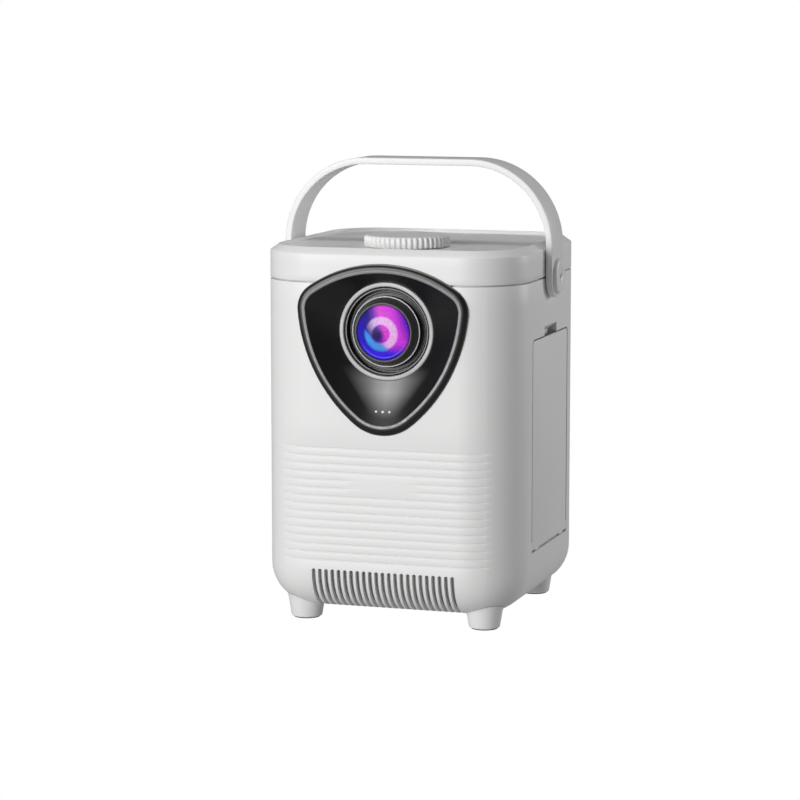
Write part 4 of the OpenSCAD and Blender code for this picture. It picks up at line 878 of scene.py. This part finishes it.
def pivot_cap_pieces():
    face = STRAP_IN + STRAP_T
    prof = [(0.0, 1.1), (1.35, 1.1), (1.5, 1.25), (1.55, 1.85), (1.75, 2.0), (8.6, 2.0), (9.0, 1.96),
            (9.6, 1.55), (9.95, 1.05), (10.0, 0.8), (10.0, 0.0), (0.0, 0.0)]
    for name, side in (("pivot_cap_left", -1), ("pivot_cap_right", 1)):
        turned(name, [(r, side * (face + t)) for r, t in prof], "handle", "handle",
                           (0.0, SEAM), "X", 96, False, 40.0)
    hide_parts("pivot_caps")


# ------------------------------------------------------------------ dial
def dial_piece():
    low, high = 210.5, 216.8
    ribs, per, rib_depth = 48, 8, 0.95
    n = ribs * per
    # height, inset, and share of the ribs' depth
    levels = [(low, 0.3, 1.0), (low + 0.3, 0.0, 1.0), (high - 2.2, 0.0, 1.0), (high - 1.4, 0.1, 1.0),
              (high - 0.8, 0.5, 0.7), (high - 0.3, 1.1, 0.3), (high - 0.05, 1.8, 0.0), (high, 2.4, 0.0),
              (high, 10.0, 0.0), (high, 20.0, 0.0)]
    rings = []
    for z, inset, share in levels:
        ring = []
        for i in range(n):
            a = 2 * math.pi * i / n
            wave = 0.5 + 0.5 * math.cos(2 * math.pi * (i % per) / per)
            hollow = 1 - max(0.0, min(1.0, (wave - 0.35) * 2.4))
            r = DIAL_R - rib_depth * share * hollow - inset
            ring.append((r * math.cos(a), DIAL_Y + r * math.sin(a), z))
        rings.append(ring)
    o = finish_piece(capped_loft(rings), "focus_dial_cap", "dial", "focus_dial", 50.0)
    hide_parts("focus_knob")


# ------------------------------------------------------------------ bezel and lens
def bezel_pieces():
    lift = 0.7                       # the ridge sits higher at the lower end
    inner_edge = RIDGE + RIDGE_W + 0.1

    def ring(inset, y, share=1.0, follow=False):
        """Outline set in by inset, at y, or just outside the case where follow is set."""
        return [(x, max(y, face_y(x) + 0.05) if follow else y, z + LENS_Z)
                for x, z in shield(inset, lift=lift * share)]

    def dish(t):
        """From the inner edge of the ridge (t = 0) to the lens ring (t = 1)."""
        pts = []
        for x, z in shield(inner_edge, lift=lift):
            k = LENS_SEAT_R / math.hypot(x, z)
            y = -77.0 + 8.9 * t + math.sin(math.pi * t) * 0.3
            pts.append((x + (x * k - x) * t, y, z + (z * k - z) * t + LENS_Z))
        return pts

    rim = ring(0.25, -74.9, 0.0, True)
    back = [(x * 0.96, -72.6, LENS_Z + (z - LENS_Z) * 0.96) for x, y, z in rim]
    rings = [back, rim, ring(0.0, -75.15, 0.0, True), ring(0.12, -75.5, 0.0)]
    for k in range(1, 8):
        a = math.pi / 2 * k / 7
        inset = 0.12 + (RIDGE - 0.12) * (1 - math.cos(a)) ** 0.9
        rings.append(ring(inset, -75.5 - 1.86 * math.sin(a), k / 7))
    rings += [ring(RIDGE + RIDGE_W, -77.36), ring(inner_edge, -77.2)]
    rings += [dish(k / 12) for k in range(13)]
    rings.append([(x, -66.0, z) for x, y, z in dish(1.0)])
    bm = bmesh.new()
    loft(bm, rings)
    o = finish_piece(bm, "bezel_shell", "bezel", "case", 32.0)
    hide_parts("lens_bezel")
    # light line on the ridge
    outer, inner = RIDGE + 0.25, RIDGE + RIDGE_W - 0.1
    rings = [ring(outer, -77.30), ring(outer + 0.15, -77.4), ring(inner - 0.2, -77.4), ring(inner, -77.30)]
    bm = bmesh.new()
    loft(bm, rings + [rings[0]])
    o = finish_piece(bm, "bezel_line", "trim", "case", 30.0)
    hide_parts("bezel_trim")
    # indicator lights
    prof = [(0.0, -74.35), (0.4, -74.32), (0.75, -74.15), (0.88, -73.9), (0.88, -71.5)]
    for k, x in enumerate((-3.9, 0.0, 3.9)):
        turned("indicator_%d" % k, prof, "light", "case",
                           centre=(x, LENS_Z - 44.0), steps=24, closed=False)
    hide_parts("indicator_lights")


def lens_pieces():
    # fixed ring: a satin band with soft edges
    prof = rounded([(24.75, -62.0), (24.75, -67.7), (25.1, -68.2), (26.9, -68.2), (27.35, -67.7),
                    (27.35, -62.0)], 0.25, 3)
    o = turned("lens_ring_band", prof, "ring", "case", smooth=40.0)
    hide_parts("lens_ring")
    # barrel: rim, stepped recess and inner sleeve
    prof = [(16.6, -63.0), (18.9, -63.0), (18.9, -68.05), (19.05, -68.25), (19.55, -68.25),
            (19.7, -68.05), (19.7, -64.2), (20.5, -64.2), (20.5, -63.4), (21.3, -63.4), (21.3, -64.0),
            (22.2, -64.0), (22.2, -62.6), (23.2, -62.6), (23.2, -66.7), (23.45, -67.0), (23.95, -67.0),
            (24.2, -66.7), (24.2, -20.0), (16.6, -20.0)]
    o = turned("barrel_shell", rounded(prof, 0.1, 2), "barrel", "focus_barrel", smooth=35.0)
    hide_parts("lens_barrel")
    lines = (("barrel_rim_line", 23.3, 24.05, -67.04, "bright"),
             ("sleeve_rim_line", 19.0, 19.66, -68.29, "ring"),
             ("recess_line_outer", 22.35, 22.6, -62.7, "trim"),
             ("recess_line_inner", 20.6, 20.9, -63.5, "trim"))
    for name, r0, r1, y, look in lines:
        prof = rounded([(r0, y + 0.5), (r0, y), (r1, y), (r1, y + 0.5)], 0.12, 3)
        turned(name, prof, look, "focus_barrel", smooth=40.0)
    # nose that holds the front glass
    prof = [(15.9, -68.8), (15.9, -72.8), (GLASS_R, -72.8), (GLASS_R, -73.1), (15.6, -73.32), (15.9, -73.4),
            (16.35, -73.3), (16.6, -73.0), (16.85, -72.3), (17.3, -71.2), (17.8, -70.1), (18.4, -68.8),
            (18.7, -68.4), (18.86, -68.0), (18.86, -63.0), (16.6, -63.0), (16.6, -68.8)]
    o = turned("glass_holder", prof, "nose", "focus_barrel", smooth=32.0)
    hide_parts("lens_retainer")
    # front glass: a dome inside the lip and a flat rim behind it
    dome_r, dome_h, back_r, back_h = 15.38, 2.45, 13.8, 1.6
    prof = [(dome_r * k / 24, -72.85 - dome_h * (1 - (k / 24) ** 2)) for k in range(25)]
    prof += [(15.88, -72.75), (15.88, -68.85)]
    prof += [(back_r * k / 16, -68.8 + back_h * (1 - (k / 16) ** 2)) for k in range(16, -1, -1)]
    o = turned("front_glass", prof, "lens", "focus_barrel", closed=False, smooth=60.0)
    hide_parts("front_lens")


# ------------------------------------------------------------------ door, feet, rear
def door_piece():
    bm = bevelled_plate(rounded_rect(DOOR_Y, 100.8, 74.0, 117.4, 2.7), "X", 73.0, 75.0, 0.35)
    # inner rim
    outer = rounded_rect(DOOR_Y, 100.5, 64.0, 109.0, 2.5)
    inner = rounded_rect(DOOR_Y, 100.5, 60.4, 105.4, 1.5)
    loft(bm, [placed(pts, x, "X") for pts, x in ((outer, 73.2), (outer, 70.5), (inner, 70.5), (inner, 73.2))])
    # round lower edge, in three lengths between the ears, and thin walls before the ears
    for y0, y1 in ((-35.5, -27.8), (-21.2, 24.2), (30.8, 38.5)):
        solid_rod(bm, HINGE, HINGE_R, y0, y1, "Y", 32)
    for y0, y1 in ((-28.2, -20.8), (23.8, 31.2)):
        solid_box(bm, (74.3, y0, 40.7), (74.96, y1, 43.5))
    o = finish_piece(bm, "cleaning_door", "case", "door", 35.0)
    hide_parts("side_door")


def door_gap_piece():
    """Painted shade: a dark strip over the gap round the door, open at the bottom, where the door's round
    edge turns.
    """
    outer = rounded_rect(DOOR_Y, 100.1, 75.5, 120.3, 3.4)
    inner = rounded_rect(DOOR_Y, 100.1, 74.04, 118.84, 2.7)
    bm = bmesh.new()
    rings = loft(bm, [placed(pts, x, "X")
                      for pts, x in ((outer, 73.3), (outer, 75.03), (inner, 75.03), (inner, 73.3))])
    ring_faces(bm, rings[-1], rings[0])
    below = bmesh.new()
    solid_box(below, (72.0, -40.0, 38.0), (77.0, 43.0, 46.6))
    bm = cut(bm, [to_mm_mesh(below, "cutter")])
    finish_piece(bm, "door_gap_shade", "gap", "case", 30.0)


def underside_z(x, y):
    """Height of the case's underside above a point of the floor."""
    ox, oy = max(0.0, abs(x) - CORE), max(0.0, abs(y) - CORE)
    out = math.hypot(ox, oy) - (CORNER - BOTTOM_R)
    if out <= 0:
        return FOOT_Z
    return FOOT_Z + BOTTOM_R - math.sqrt(max(0.0, BOTTOM_R ** 2 - min(out, BOTTOM_R - 0.01) ** 2))


def foot_r(z):
    """Radius of the foot's cone at height z."""
    return 8.8 + 2.3 * (z - 1.5) / 14.0


def foot_rings(cx, cy, n=96, rise=8):
    """Rings of a foot from its rounded sole up to the curved underside that it meets."""
    sole = [(7.6, 1.4), (7.75, 0.75), (8.0, 0.6), (8.3, 0.7), (8.7, 1.1), (8.8, 1.6)]
    rings = [placed(round_points((cx, cy), r, n), z, "Z") for r, z in sole]
    meets = []
    for i in range(n):
        a = 2 * math.pi * i / n
        z = FOOT_Z
        for _ in range(12):
            z = underside_z(cx + foot_r(z) * math.cos(a), cy + foot_r(z) * math.sin(a))
        meets.append(min(z, 15.4) + 0.15)
    for k in range(1, rise + 1):
        ring = []
        for i in range(n):
            a = 2 * math.pi * i / n
            z = 1.6 + (meets[i] - 1.6) * k / rise
            r = foot_r(z) + (0.35 if k == rise else 0.0)
            ring.append((cx + r * math.cos(a), cy + r * math.sin(a), z))
        rings.append(ring)
    return rings


def feet_pieces():
    for side, sx in (("left", -1), ("right", 1)):
        for end, sy in (("front", -1), ("rear", 1)):
            bm = bmesh.new()
            rings = loft(bm, foot_rings(sx * FOOT_XY, sy * FOOT_XY))
            bm.faces.new(list(reversed(rings[0])))
            finish_piece(bm, "foot_%s_%s" % (end, side), "case", "case", 40.0)
    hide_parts("feet")


def rear_panel_piece():
    bm = bevelled_plate(rounded_rect(0.0, REAR_Z, 80.0, 142.0, 8.0, 10), "Y", 72.5, 77.4, 0.6)
    c = bmesh.new()
    openings = [(k * SLOT_PITCH, 120.0, 2.2, 54.0, 1.09, 5) for k in range(-8, 9)]
    sockets = ((21.0, 47.0, 14.4, 7.4), (21.0, 64.0, 14.4, 7.4), (1.5, 47.0, 16.0, 7.0),
               (-20.5, 55.0, 21.0, 14.0))
    openings += [(x, z, w + 0.6, h + 0.6, 0.8, 4) for x, z, w, h in sockets]
    for opening in openings:
        solid_prism(c, rounded_rect(*opening), 70.0, 80.0, "Y")
    solid_rod(c, (1.5, 64.0), 3.9, 70.0, 80.0)
    solid_rod(c, (-16.0, 160.0), 6.3, 70.0, 80.0)
    solid_rod(c, (16.0, 160.0), 4.0, 74.5, 80.0)
    for sx in (-1, 1):
        for sz in (-1, 1):
            solid_rod(c, (sx * 35.5, REAR_Z + sz * 66.5), 3.0, 75.6, 80.0)
    out = cut(bm, [to_mm_mesh(c, "cutter")])
    o = finish_piece(out, "rear_cover", "case", "case", 35.0)
    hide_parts("rear_panel")


case_shell()
lid_shell()
handle_piece()
pivot_cap_pieces()
dial_piece()
bezel_pieces()
lens_pieces()
door_piece()
door_gap_piece()
feet_pieces()
rear_panel_piece()
